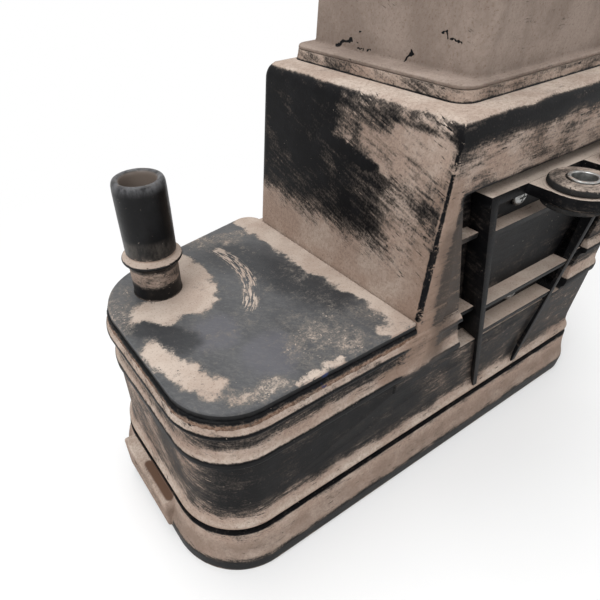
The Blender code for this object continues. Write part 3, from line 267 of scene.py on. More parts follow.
def prism(name, points_xz, low_y, high_y, bevel):
    """A flat outline in the XZ plane, thick along Y, with rounded edges."""
    shape = bmesh.new()
    near = [shape.verts.new(Vector((x, low_y, z)) * MM) for x, z in points_xz]
    far = [shape.verts.new(Vector((x, high_y, z)) * MM) for x, z in points_xz]
    shape.faces.new(near)
    shape.faces.new(far)
    for i in range(len(near)):
        shape.faces.new((near[i - 1], near[i], far[i], far[i - 1]))
    rounded(shape, bevel, 4)
    return from_bmesh(name, shape)


def bake(target):
    """Turns the object's modifiers into its mesh."""
    graph = bpy.context.evaluated_depsgraph_get()
    mesh = bpy.data.meshes.new_from_object(target.evaluated_get(graph))
    target.modifiers.clear()
    target.data = mesh
    return target


def combine(target, operation, *others):
    """Joins or cuts the target with other objects, which are used up."""
    for other in others:
        change = target.modifiers.new("change", "BOOLEAN")
        change.operation = operation
        change.solver = "EXACT"
        change.object = other
        bake(target)
        bpy.data.objects.remove(other)
    return target


def soft_edges(target, width, angle=35):
    """Rounds the sharp edges that a join or cut leaves."""
    rounding = target.modifiers.new("edges", "BEVEL")
    rounding.width = width * MM
    rounding.segments = 2
    rounding.limit_method = "ANGLE"
    rounding.angle_limit = math.radians(angle)
    return smooth(bake(target), angle)


def stand_for(piece, node, body):
    """The piece takes the place of a CAD node of the same shape."""
    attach(piece, body)
    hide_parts(node)
    return piece


# Outlines in plan, as on the model: (x, y, corner radius)

def oblong(inset, near, far, radius):
    """A rectangle over the tall chamber, set in from its front and rear."""
    rear = REAR_X - inset
    return [(inset, near, radius), (rear, near, radius), (rear, far, radius), (inset, far, radius)]


NEAR_NOSE = (NOSE_X, NEAR_Y, 23.0)
FAR_NOSE = (NOSE_X, NOSE_FAR_Y, 30.0)
NEAR_REAR = (REAR_X, NEAR_Y, REAR_RADIUS)
FAR_REAR = (REAR_X, FAR_Y, REAR_RADIUS)
LOWER_PLAN = [NEAR_NOSE, NEAR_REAR, FAR_REAR, (0.0, STEP_FAR_Y, 25.0), FAR_NOSE]
DECK_PLAN = [NEAR_NOSE, (-GAP, NEAR_Y, 0.8), (-GAP, STEP_FAR_Y, 8.0), FAR_NOSE]
FRONT_CHAMBER_PLAN = [NEAR_NOSE, (WALL, NEAR_Y, 9.0), (WALL, STEP_FAR_Y, 11.0), FAR_NOSE]
TALL_PLAN = [(0.0, NEAR_Y, 3.0), NEAR_REAR, FAR_REAR, (0.0, FAR_Y, 7.0)]
REAR_CHAMBER_PLAN = oblong(0.0, NEAR_Y + POCKET_DEPTH, FAR_Y, 9.0)
RISER_NEAR_Y = NEAR_Y + 14.8
RISER_FAR_Y = FAR_Y - 5.7
RISER_PLAN = oblong(16.0, RISER_NEAR_Y, RISER_FAR_Y, 6.0)
VENT_PLAN = oblong(25.0, NEAR_Y + 18.3, FAR_Y - 6.5, 5.0)


# Fine shells

def pocket_edge(z):
    return POCKET_START + POCKET_LEAN * (POCKET_TOP - z) / (POCKET_TOP - POCKET_FOOT)


def bracket_front(z):
    """The front of the bracket's leaning leg at a height."""
    top = POCKET_TOP - 4.0
    foot = 31.5
    return 23.0 + 32.0 * (top - z) / (top - foot)


def add_pilaster(shell):
    """The stepped post under the tall chamber's near front corner."""
    proud = NEAR_Y - 1.9
    low = DECK_TOP - 36.0
    foot_end = (POCKET_START + 8.0, NEAR_Y + 3.0, HOUSING_TOP)
    head_end = (POCKET_START + 7.0, NEAR_Y + 2.8, DECK_TOP + 3.0)
    foot = block("pilaster_low", (-7.0, proud, low), foot_end, 1.6, 5)
    head = block("pilaster_high", (0.4, proud + 0.9, low + 20.0), head_end, 1.5, 5)
    combine(shell, "UNION", foot, head)


def cut_pocket(shell):
    """The side pocket, with two shelves at its front and two at its rear."""
    corners = [
        (pocket_edge(POCKET_TOP), POCKET_TOP),
        (pocket_edge(POCKET_FOOT), POCKET_FOOT),
        (REAR_X - pocket_edge(POCKET_FOOT), POCKET_FOOT),
        (REAR_X - pocket_edge(POCKET_TOP), POCKET_TOP),
    ]
    floor_y = NEAR_Y + POCKET_DEPTH
    combine(shell, "DIFFERENCE", prism("pocket", corners, NEAR_Y - 12.0, floor_y, 2.5))
    for level in SHELF_LEVELS:
        outer = pocket_edge(level) - 2.0
        inner = bracket_front(level) - 0.6
        near_y = NEAR_Y + (2.6 if level > DECK_TOP else 0.6)
        for start, end in ((outer, inner), (REAR_X - inner, REAR_X - outer)):
            low = (start, near_y, level - SHELF_THICK)
            combine(shell, "UNION", block("shelf", low, (end, floor_y + 1.0, level), 0.5))


def cut_side_panel(shell):
    """The shallow panel that is sunk into the tall chamber's near wall."""
    low = DECK_TOP + 4.0
    high = TALL_TOP - 5.0
    half = (high - low) / 2
    middle = (low + high) / 2
    panel = block("panel", (3.5, -5.0, -half), (REAR_X - 3.5, 0.9, half), 0.8, 3)
    place = Vector((0, NEAR_Y + draft_at(middle) - 2.05, middle))
    panel.data.transform(Matrix.Translation(place * MM) @ Matrix.Rotation(-WALL_ANGLE, 4, "X"))
    combine(shell, "DIFFERENCE", panel)


def housing_shell():
    """The moulded tank: ledged lower walls, the tall chamber, its roof riser and the side pocket."""
    foot = [(2.6, 0.0), (2.6, 2.4), (4.2, 2.9), (4.2, 4.0), (2.9, 5.6), (2.0, 8.4), (1.5, 12.5)]
    ledges = [
        (1.2, -28.8), (2.3, -27.8), (2.3, -24.9), (1.1, -23.2), (0.5, -20.0), (0.4, -14.0), (0.9, -11.6),
        (2.6, -10.8), (2.6, -9.2), (1.7, -7.6),
    ]
    bands = [(out, HOUSING_FOOT + up) for out, up in foot]
    bands += [(out, DECK_TOP + up) for out, up in ledges]
    bands.append((0.2, HOUSING_TOP))
    shell = loft("canister_housing", LOWER_PLAN, eased(bands, 0.7), steps=24)
    walls = [
        (-0.1, HOUSING_TOP - 5.0),
        (0.0, DECK_TOP),
        (-DRAFT, TALL_TOP - 4.2),
        (-DRAFT - 1.2, TALL_TOP - 1.6),
        (-DRAFT - 3.6, TALL_TOP),
    ]
    tall = loft("tall", TALL_PLAN, eased(walls, 2.0), steps=12)
    roof = [(1.6, TALL_TOP - 1.0), (0.5, TALL_TOP + 0.3), (0.0, RISER_TOP)]
    combine(shell, "UNION", tall, loft("riser", RISER_PLAN, eased(roof, 0.8), steps=12))
    add_pilaster(shell)
    under = HOUSING_FOOT - 1.0
    front = loft("front", FRONT_CHAMBER_PLAN, [(-WALL, under), (-WALL, HOUSING_TOP + 1.0)], steps=10)
    inside = [(-WALL, under), (-WALL, DECK_TOP), (-WALL - DRAFT, TALL_TOP - WALL)]
    combine(shell, "DIFFERENCE", front, loft("rear", REAR_CHAMBER_PLAN, inside, steps=8))
    cut_pocket(shell)
    cut_side_panel(shell)
    roof_middle = (REAR_X / 2, (RISER_NEAR_Y + RISER_FAR_Y) / 2, 0)
    holes = [
        drill("vent_hole", PORT_RADIUS, RISER_TOP + 2, TALL_TOP - 6, roof_middle, 48),
        drill("purge_hole", PORT_RADIUS, 8, -8, PURGE_PLACE, 48, OFF_REAR_WALL),
        drill("duct_hole", 5.3, 4, -8, DUCT_PLACE, 48, FACING_REAR),
    ]
    combine(shell, "DIFFERENCE", *holes)
    return stand_for(soft_edges(shell, 0.35, 40), "housing", "canister")


def weld_flash():
    """The rough bead that the hot-plate weld squeezed out between the deck cover and the housing."""
    deck_middle = Vector((-45.0, 0.0, 0))

    def rough(place):
        if place.x > -2.0:
            return place
        lump = noise.noise(place * 0.9) * 0.35 + noise.noise(place * 2.3) * 0.3
        out = (Vector((place.x, place.y, 0)) - deck_middle).normalized()
        share = 1.0 if 88.0 < place.z < 92.6 else 0.2
        return place + out * lump * share + Vector((0, 0, 0.25 * lump))

    foot = HOUSING_TOP - 2.6
    section = [
        (-1.6, 0.0), (0.9, 0.0), (1.1, 1.0), (1.3, 2.0), (1.25, 2.8), (1.15, 3.6), (0.8, 4.4), (0.1, 4.9),
        (-1.6, 4.9),
    ]
    profile = [(out, foot + up) for out, up in section]
    bead = smooth(loft("weld_flash", DECK_PLAN, profile, steps=30, ring=True, longest=1.0, wobble=rough), 60)
    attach(bead, "canister")
    return bead


def deck_shell():
    """The cover plate on the low chamber, with two ribs below and the spigot's hole."""
    section = [(-1.0, -DECK_THICK), (0.0, -DECK_THICK), (0.0, -0.9), (-0.3, -0.25), (-0.9, 0.0), (-2.5, 0.0)]
    edge = [(out, DECK_TOP + up) for out, up in section]
    plate = loft("deck_plate", DECK_PLAN, eased(edge, 0.5), steps=28)
    under = DECK_TOP - DECK_THICK
    for share in (0.2, 0.48):
        x = NOSE_X * share
        rib = block("rib", (x - 1.0, NEAR_Y + 4.4, under - 3.0), (x + 1.0, NOSE_FAR_Y - 3.4, under + 1.0))
        combine(plate, "UNION", rib)
    combine(plate, "DIFFERENCE", drill("hole", 10.3, 2.0, -DECK_THICK - 2.0, SPIGOT, 96))
    return stand_for(smooth(plate), "deck_cover", "canister")


def spigot_shell():
    """The hose tube: a rounded mouth, a stop collar low down, and a flange below the deck."""
    top = spigot_high.z - DECK_TOP
    under = -DECK_THICK - GAP
    collar = 17.2
    mouth = [(6.7, -2.2), (7.0, -0.7), (8.2, 0.0), (9.4, -0.35), (9.95, -1.6), (10.1, -4.0), (10.2, -14.0)]
    stop = [
        (10.2, 1.6), (9.7, 1.2), (9.7, 0.7), (10.6, 0.2), (11.3, -0.1), (12.1, -0.6), (12.3, -1.2),
        (12.0, -1.9), (10.9, -2.6), (10.0, -3.4),
    ]
    outer = [(radius, top + up) for radius, up in mouth]
    outer += [(radius, collar + up) for radius, up in stop]
    outer += [(10.0, under), (15.0, under), (15.0, under - 2.4), (6.7, under - 2.4)]
    tube = lathe("spigot_tube", eased(outer, 0.8), SPIGOT, 128)
    return stand_for(smooth(tube, 50), "hose_spigot", "canister")


def cover_shell():
    """The flared skirt and floor, with the slotted pad on the nose."""
    edge = [(-1.2, 0.0), (-0.3, 0.7), (0.0, 2.0), (0.0, 8.6), (-0.5, 10.4), (-1.7, 13.4), (-2.8, 17.4)]
    edge += [(-3.6, COVER_TOP - 4.0), (-4.1, COVER_TOP)]
    profile = [(SKIRT_FLARE + out, up) for out, up in edge]
    shell = loft("bottom_skirt", LOWER_PLAN, eased(profile, 0.9), steps=28)
    nose = NOSE_X - SKIRT_FLARE
    pad = block("pad", (nose - 1.6, -24.0, 5.0), (NOSE_X - 3.5, 20.0, COVER_TOP - 0.8), 1.2, 4)
    space = loft("space", LOWER_PLAN, [(0.0, 3.2), (0.0, COVER_TOP + 1.0)], steps=12)
    slot = block("slot", (nose - 6.0, -19.0, 12.0), (NOSE_X - 3.2, 11.0, 20.0), 1.0, 3)
    combine(shell, "UNION", pad)
    combine(shell, "DIFFERENCE", space, slot)
    return stand_for(soft_edges(shell, 0.3, 40), "bottom_cover", "canister")


def vent_shell():
    """The vent housing: a flange on the roof riser, four thin walls, and holes below and behind."""
    flange = [(0.0, VENT_FOOT), (0.0, VENT_FLOOR - 0.4), (-0.5, VENT_FLOOR)]
    shell = loft("vent_housing", RISER_PLAN, eased(flange, 0.3), steps=12)
    sides = [(0.6, VENT_FLOOR - 0.5), (0.0, VENT_FLOOR + 1.0), (-0.5, vent_high.z)]
    combine(shell, "UNION", loft("walls", VENT_PLAN, sides, steps=12))
    space = loft("space", VENT_PLAN, [(-2.4, VENT_FLOOR + 2.4), (-2.9, vent_high.z + 1.0)], steps=10)
    passage = drill("passage", PORT_RADIUS, 6.0, -4.0, (LID_MIDDLE.x, LID_MIDDLE.y, VENT_FLOOR))
    fresh = drill("fresh", PORT_RADIUS, 6.0, -6.0, FRESH_PLACE, turn=FACING_REAR)
    combine(shell, "DIFFERENCE", space, passage, fresh)
    return stand_for(soft_edges(shell, 0.35, 40), "vent_box", "canister")


def lid_shell():
    """The lid: a plate with an eased rim and a hanging skirt that holds the filter down."""
    top = lid_high.z
    under = top - 2.6
    rim = [(-3.5, lid_low.z), (-3.5, under), (0.9, under), (0.9, top - 0.8), (0.1, top), (-2.0, top)]
    lid = loft("vent_cover", VENT_PLAN, eased(rim, 0.5), steps=14)
    space = loft("space", VENT_PLAN, [(-5.5, lid_low.z - 1.0), (-5.5, under + GAP)], steps=10)
    combine(lid, "DIFFERENCE", space)
    return stand_for(soft_edges(lid, 0.25, 40), "vent_lid", "lid")


# Small pieces

def refined(node, name, width):
    """A copy of a CAD node with its faceted edges rounded."""
    shape = bmesh.new()
    shape.from_mesh(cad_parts[node].data)
    bmesh.ops.remove_doubles(shape, verts=shape.verts, dist=0.005 * MM)
    bmesh.ops.dissolve_limit(shape, angle_limit=math.radians(1.0), verts=shape.verts, edges=shape.edges)
    return stand_for(soft_edges(from_bmesh(name, shape), width), node, "canister")


def turned(name, node, profile):
    """A (radius, height) profile turned on the node's own vertical axis, from its foot."""
    low, high = node_box(node)
    middle = ((low.x + high.x) / 2, (low.y + high.y) / 2, low.z)
    return stand_for(smooth(lathe(name, profile, middle, 72), 40), node, "canister")


def node_size(node):
    """The radius and height of a round upright node."""
    low, high = node_box(node)
    return (high.x - low.x) / 2, high.z - low.z


def barbed_pipe(name, node, place, turn, flange):
    """A push-on pipe: a barbed tube on a flange, its root in the wall's bore."""
    bore = 5.8
    outer = 7.8
    root = -2.4
    profile = [
        (bore, 26.0), (6.4, 26.0), (7.2, 26.0), (8.7, 22.0), (8.7, 20.8), (outer, 20.2), (outer, 3.8),
        (8.2, 2.8), (8.0 + flange, 2.8), (8.0 + flange, GAP), (outer, GAP), (outer, root), (bore, root),
    ]
    pipe = lathe(name, eased(profile, 0.35, 3) + [Vector((bore, 10.0))], place, 96, turn)
    return stand_for(smooth(pipe, 40), node, "canister")


def bush(name, node):
    """A rubber spool in the bracket's ear, with flanges above and below the ear."""
    reach, tall = node_size(node)
    bore = 5.8
    waist = 8.1
    flange = [(8.4, 0.0), (reach - 0.6, 0.2), (reach, 0.9), (reach, 2.0), (reach - 0.4, 2.4), (waist, 2.4)]
    profile = [(bore, tall)] + [(radius, tall - down) for radius, down in flange]
    profile += flange[::-1] + [(bore, 0.0), (bore, tall * 0.5)]
    return turned(name, node, eased(profile, 0.4, 3))


def sleeve(name, node):
    """A steel sleeve through the bush, for the mounting bolt."""
    radius, tall = node_size(node)
    bore = 4.1
    half = (bore, tall * 0.5)
    profile = [half, (bore, tall), (radius, tall), (radius, 0.0), (bore, 0.0), half]
    return turned(name, node, eased(profile, 0.35, 3)[:-1])


def screw(name, node, turn):
    """A pan-head screw with a cross recess. Its shank runs along the turned vertical, head at the top."""
    low, high = node_box(node)
    centre = (low + high) / 2
    away = turn @ Vector((0, 0, 1))
    top = max(abs(away.dot(high - low)), 1.0) / 2
    reach = (high.z - low.z) / 2
    under_head = top - 2.3
    shank = 1.7
    profile = [
        (0.0, top), (reach * 0.55, top - 0.12), (reach * 0.9, top - 0.7), (reach, top - 1.3),
        (reach, under_head), (shank, under_head), (shank, -top + 0.7), (1.2, -top), (0.0, -top),
    ]
    made = lathe(name, profile, (0, 0, 0), 48)
    for long, short in ((2.0, 0.4), (0.4, 2.0)):
        bar = block("bar", (-long, -short, top - 1.1), (long, short, top + 1.0))
        combine(made, "DIFFERENCE", bar)
    made.data.transform(Matrix.Translation(centre * MM) @ turn.to_4x4())
    return stand_for(soft_edges(made, 0.12, 40), node, "canister")


def spring(name, node, turns, wire):
    """A compression spring as a fine round wire."""
    low, high = node_box(node)
    centre = (low + high) / 2
    radius = (max(high.x - low.x, high.y - low.y)) / 2 - wire
    tall = high.z - low.z
    climb = tall - 2 * wire
    per_turn = 40
    sides = 12
    flat = 0.75
    lift = 2.2 * wire
    shape = bmesh.new()
    rings = []
    for i in range(int(turns * per_turn) + 1):
        turn = i / per_turn
        share = min(max((turn - flat) / (turns - 2 * flat), 0.0), 1.0)
        z = lift + (climb - 2 * lift) * share
        if turn < flat:
            z = lift * turn / flat
        elif turn > turns - flat:
            z = climb - lift * (turns - turn) / flat
        angle = math.tau * turn
        out = Vector((math.cos(angle), math.sin(angle), 0))
        core = Vector((centre.x, centre.y, low.z + wire + z)) + out * radius
        ring = []
        for side in range(sides):
            around = math.tau * side / sides
            up = Vector((0, 0, wire * math.sin(around)))
            ring.append(shape.verts.new((core + out * wire * math.cos(around) + up) * MM))
        rings.append(ring)
    for lower, upper in zip(rings, rings[1:]):
        for side in range(sides):
            shape.faces.new((lower[side - 1], lower[side], upper[side], upper[side - 1]))
    shape.faces.new(rings[0])
    shape.faces.new(rings[-1])
    coil = stand_for(from_bmesh(name, shape, 50), node, "canister")
    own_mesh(coil)
    return coil


def winding():
    """The valve's copper coil, its outer turns showing as fine ridges."""
    radius, tall = node_size("valve_coil")
    turns = 34
    per_turn = 4
    inner = 4.9
    ease = 0.3
    ridge = 0.15
    profile = [(inner, tall), (radius - ease, tall)]
    for step in range(turns * per_turn + 1):
        height = tall - ease - (tall - 2 * ease) * step / (turns * per_turn)
        profile.append((radius - ridge + ridge * math.cos(math.tau * step / per_turn), height))
    profile += [(radius - ease, 0.0), (inner, 0.0)]
    return smooth(turned("copper_winding", "valve_coil", profile), 60)


housing = housing_shell()
bead = weld_flash()
deck = deck_shell()
spigot = spigot_shell()
skirt = cover_shell()
vent = vent_shell()
lid = lid_shell()
bracket = refined("side_bracket", "bracket_frame", 0.5)
body = refined("valve_body", "valve_housing", 0.35)
cap = refined("valve_cap", "valve_cap_shell", 0.35)
pipes = [
    barbed_pipe("fresh_air_tube", "fresh_air_pipe", FRESH_PLACE, FACING_REAR, 2.0),
    barbed_pipe("purge_tube", "purge_pipe", PURGE_PLACE, OFF_REAR_WALL, 4.0),
]
bushes = [bush(f"bush_{side}", f"mounting_bush_{side}") for side in ("fore", "aft")]
sleeves = [sleeve(f"sleeve_{side}", f"bush_sleeve_{side}") for side in ("fore", "aft")]
screws = [
    screw(f"cross_screw_{spot}", f"bracket_screw_{spot}", FACING_NEAR)
    for spot in ("front", "rear", "low")
]
screws += [screw(f"flange_screw_{side}", f"valve_screw_{side}", FACING_REAR) for side in ("near", "far")]
springs = []
for chamber, sides in (("front", ("near", "far")), ("rear", ("fore", "aft"))):
    for side in sides:
        node = f"{chamber}_spring_{side}"
        springs.append(spring(f"coil_{side}", node, 4.0, 0.9))
springs.append(spring("disc_coil", "relief_spring", 3.0, 0.35))
springs.append(spring("plunger_coil", "plunger_spring", 4.0, 0.4))
copper = winding()


# Camera and light

def look_from(place, right, up, back, lens, shift):
    data = bpy.data.cameras.new("camera")
    data.lens = lens
    data.sensor_width = 36.0
    data.shift_x, data.shift_y = shift
    data.clip_start = 0.01
    camera = new_object("camera", data)
    turn = Matrix((right, up, back)).transposed().to_4x4()
    camera.matrix_world = Matrix.Translation(Vector(place) * MM) @ turn
    bpy.context.scene.camera = camera


look_from(
    place=(-129.63, -139.31, 213.43),
    right=(0.83115, -0.55514, -0.03173),
    up=(0.40049, 0.55807, 0.72675),
    back=(-0.38574, -0.61675, 0.68617),
    lens=28.928,
    shift=(0.0847, 0.1002),
)


def area_light(name, place_m, aim_m, size_m, power_w):
    data = bpy.data.lights.new(name, "AREA")
    data.shape = "DISK"
    data.size = size_m
    data.energy = power_w
    lamp = new_object(name, data)
    lamp.location = place_m
    lamp.rotation_euler = (Vector(aim_m) - Vector(place_m)).to_track_quat("-Z", "Y").to_euler()


area_light("key", (-0.75, -0.25, 0.95), (0.0, 0.0, 0.08), 0.7, 8.5)
area_light("fill", (0.35, -1.1, 0.65), (0.0, 0.0, 0.08), 0.9, 3.6)
area_light("top", (0.1, 0.35, 1.2), (0.0, 0.0, 0.1), 0.8, 6.5)


# Materials

CLAY_PALE = (0.53, 0.445, 0.38)
CLAY_DEEP = (0.35, 0.262, 0.212)
CLAY_BROWN = (0.10, 0.055, 0.034)
FILM = (0.085, 0.070, 0.060)
BLACK = (0.0026, 0.0026, 0.0031)
ALONG = (9, 9, 1)


class Shader:
    """One material, with short calls that add nodes to it. Lengths are millimetres in the object's frame."""

    def __init__(self, name):
        self.material = bpy.data.materials.new(name)
        self.material.use_nodes = True
        self.tree = self.material.node_tree
        self.surface = self.tree.nodes["Principled BSDF"]
        coords = self.node("ShaderNodeTexCoord")
        self.place = self.vector("SCALE", coords.outputs["Object"], scale=1 / MM)
        self.x, self.y, self.z = self.node("ShaderNodeSeparateXYZ", {0: self.place}).outputs
        normal = self.node("ShaderNodeNewGeometry").outputs["Normal"]
        self.up = self.node("ShaderNodeSeparateXYZ", {0: normal}).outputs[2]
        spread = self.noise(9.0, 3, 0.6, colour=True)
        spread = self.vector("SUBTRACT", spread, (0.5, 0.5, 0.5))
        self.ragged = self.vector("ADD", self.place, self.vector("SCALE", spread, scale=11.0))

    def node(self, kind, inputs=(), **settings):
        """A new node with its settings, and with what goes into its inputs, by number or name."""
        made = self.tree.nodes.new(kind)
        for name, value in settings.items():
            setattr(made, name, value)
        for key, value in dict(inputs).items():
            self.put(made.inputs[key], value)
        return made

    def put(self, socket, value):
        if isinstance(value, bpy.types.NodeSocket):
            self.tree.links.new(value, socket)
        elif isinstance(value, tuple) and len(value) == 3 and socket.type == "RGBA":
            socket.default_value = (*value, 1.0)
        else:
            socket.default_value = value

    def vector(self, operation, a, b=None, scale=None):
        inputs = {0: a}
        if b is not None:
            inputs[1] = b
        if scale is not None:
            inputs["Scale"] = scale
        made = self.node("ShaderNodeVectorMath", inputs, operation=operation)
        is_number = operation in ("DOT_PRODUCT", "DISTANCE", "LENGTH")
        return made.outputs["Value" if is_number else "Vector"]

    def math(self, operation, a, b=0.0, clamp=False):
        return self.node("ShaderNodeMath", {0: a, 1: b}, operation=operation, use_clamp=clamp).outputs[0]

    def joined(self, operation, values):
        total = values[0]
        for value in values[1:]:
            total = self.math(operation, total, value)
        return total

    def add(self, *values):
        return self.joined("ADD", values)

    def times(self, *values):
        return self.joined("MULTIPLY", values)

    def span(self, value, low, high, start=0.0, end=1.0):
        """Goes smoothly from start to end while the value goes from low to high."""
        numbers = enumerate((value, low, high, start, end))
        return self.node("ShaderNodeMapRange", numbers, interpolation_type="SMOOTHSTEP").outputs[0]

    def within(self, value, low, full_low, full_high, high):
        """1 between the two full values, falling to 0 at low and high."""
        return self.times(self.span(value, low, full_low), self.span(value, high, full_high))

    def noise(self, size, detail=6, rough=0.6, stretch=(1, 1, 1), seed=0.0, colour=False, place=None):
        spot = self.vector("MULTIPLY", place or self.place, tuple(1 / (size * axis) for axis in stretch))
        spot = self.vector("ADD", spot, (seed, seed * 1.7, -seed))
        inputs = {"Vector": spot, "Scale": 1.0, "Detail": detail, "Roughness": rough}
        return self.node("ShaderNodeTexNoise", inputs).outputs["Color" if colour else "Fac"]

    def turned(self, axis, angle):
        inputs = {"Vector": self.place, "Angle": angle}
        return self.node("ShaderNodeVectorRotate", inputs, rotation_type=axis + "_AXIS").outputs[0]

    def around(self, x, y):
        """Distance from a vertical axis, and the angle round it."""
        across = self.math("SUBTRACT", self.x, x)
        along = self.math("SUBTRACT", self.y, y)
        squares = self.add(self.times(across, across), self.times(along, along))
        return self.math("SQRT", squares), self.math("ARCTAN2", along, across)

    def polar(self, radius, turn, fine, coarse):
        """Coordinates in which noise makes arcs: fine millimetres across them, coarse ones along them."""
        usual_radius = 45.0
        across = self.times(radius, 1 / fine)
        along = self.times(turn, usual_radius / coarse)
        return self.node("ShaderNodeCombineXYZ", {0: across, 1: along}).outputs[0]

    def centred(self, value, share):
        return self.times(self.math("SUBTRACT", value, 0.5), share)

    def mixed(self, data_type, first, output, share, a, b):
        inputs = {0: share, first: a, first + 1: b}
        return self.node("ShaderNodeMix", inputs, data_type=data_type).outputs[output]

    def blend(self, share, a, b):
        """A colour, from a at share 0 to b at share 1."""
        return self.mixed("RGBA", 6, 2, share, a, b)

    def between(self, share, a, b):
        """A number, from a at share 0 to b at share 1."""
        return self.mixed("FLOAT", 2, 0, share, a, b)

    def bands(self, value, points):
        """A value that follows (position, amount) points in a straight line from one to the next."""
        low, high = points[0][0], points[-1][0]
        place = self.node("ShaderNodeMapRange", enumerate((value, low, high, 0.0, 1.0)))
        made = self.node("ShaderNodeValToRGB", {0: place.outputs[0]})
        ramp = made.color_ramp
        while len(ramp.elements) < len(points):
            ramp.elements.new(0.5)
        for element, (position, _) in zip(ramp.elements, points):
            element.position = (position - low) / (high - low)
        for element, (_, amount) in zip(ramp.elements, points):
            element.color = (amount, amount, amount, 1.0)
        return made.outputs[0]

    def stroke(self, start, end, radius, soft, ragged=True):
        """1 within radius of the line from start to end, falling to 0 over soft."""
        start = Vector(start)
        along = Vector(end) - start
        offset = self.vector("SUBTRACT", self.ragged if ragged else self.place, tuple(start))
        if along.length > 0:
            share = self.vector("DOT_PRODUCT", offset, tuple(along / along.length_squared))
            share = self.math("ADD", share, 0.0, clamp=True)
            away = self.vector("DISTANCE", offset, self.vector("SCALE", tuple(along), scale=share))
        else:
            away = self.vector("LENGTH", offset)
        return self.span(away, radius + soft, radius)

    def painted(self, amount, strokes):
        """The amount after each stroke in turn has pulled it towards the stroke's own amount."""
        for start, end, radius, soft, target in strokes:
            amount = self.between(self.stroke(start, end, radius, soft), amount, target)
        return amount

    def bump(self, height, strength, depth):
        made = self.node("ShaderNodeBump", {"Strength": strength, "Distance": depth * MM, "Height": height})
        self.put(self.surface.inputs["Normal"], made.outputs[0])

    def finish(self, colour, rough, specular=0.4, metallic=0.0):
        self.put(self.surface.inputs["Base Color"], colour)
        self.put(self.surface.inputs["Roughness"], rough)
        self.surface.inputs["Specular IOR Level"].default_value = specular
        self.surface.inputs["Metallic"].default_value = metallic
        return self.material


def dusty(
    name,
    cover_of,
    bare=BLACK,
    film=FILM,
    gloss=0.46,
    streaks=ALONG,
    patchy=1.0,
    brown=0.0,
    tint=None,
    over=None,
    clay_tones=(CLAY_PALE, CLAY_DEEP),
    specular=0.08,
):
    """Black plastic under clay dust: cover_of gives how much lies where, and noise breaks its edges up."""
    s = Shader(name)
    cover = cover_of(s)
    cloud = s.noise(13.0, 8, 0.62)
    lean = s.turned("X", -0.3)
    streak = s.noise(1.3, 6, 0.68, streaks, 3.1, place=lean)
    grit = s.noise(0.8, 5, 0.72, seed=7.3)
    level = cover
    for pattern, share in ((cloud, 0.95), (streak, 1.0), (grit, 0.9)):
        level = s.add(level, s.centred(pattern, share * patchy))
    edges = s.times(s.within(cover, 0.05, 0.4, 0.75, 1.0), s.span(s.noise(8.0, 4, 0.6, seed=59.0), 0.47, 0.6))
    pale_scratch = s.span(s.noise(0.5, 2, 0.5, streaks, 43.0, place=lean), 0.62, 0.68)
    dark_scratch = s.span(s.noise(0.6, 2, 0.5, streaks, 47.0, place=lean), 0.63, 0.69)
    level = s.add(level, s.times(pale_scratch, edges, 0.35), s.times(dark_scratch, edges, -0.5))
    caked = s.span(level, 0.42, 0.76)
    thin = s.span(level, 0.18, 0.56)
    drift = s.span(s.noise(24.0, 6, 0.65, seed=11.0), 0.36, 0.62, 0.0, 0.6)
    # Clay tone: deeper at random, and deeper on faces that don't look up, which is painted shade on the sides
    deep_and_side_shade = s.add(drift, s.span(s.up, 0.8, 0.1, 0.0, 0.5))
    clay = s.blend(deep_and_side_shade, *clay_tones)
    clay = s.blend(s.times(s.span(grit, 0.54, 0.66), 0.45), clay, CLAY_BROWN)
    if brown:
        crumbs = s.span(s.noise(1.3, 5, 0.75, seed=19.0), 0.46, 0.55)
        clay = s.blend(s.times(crumbs, brown), clay, CLAY_BROWN)
    worn = s.span(s.noise(9.0, 7, 0.7, seed=23.0), 0.45, 0.66)
    base = s.blend(worn, bare, tuple(c * 1.5 + 0.0015 for c in bare))
    if tint:
        base = tint(s, base)
    under = s.blend(s.times(thin, 0.85), base, film)
    specks = s.times(s.span(s.noise(0.9, 2, 0.5, seed=31.0), 0.74, 0.78), 0.5)
    under = s.blend(specks, under, CLAY_PALE)
    colour = s.blend(caked, under, clay)
    if over:
        colour = over(s, colour)
    rough = s.add(gloss, s.times(thin, 0.2), s.times(caked, 0.3), s.centred(streak, 0.25))
    grain = s.noise(0.35, 2, 0.5, seed=5.0)
    s.bump(s.add(s.times(caked, 0.7), s.times(grit, 0.4), s.times(grain, 0.12)), 0.6, 0.22)
    return s.finish(colour, rough, specular)


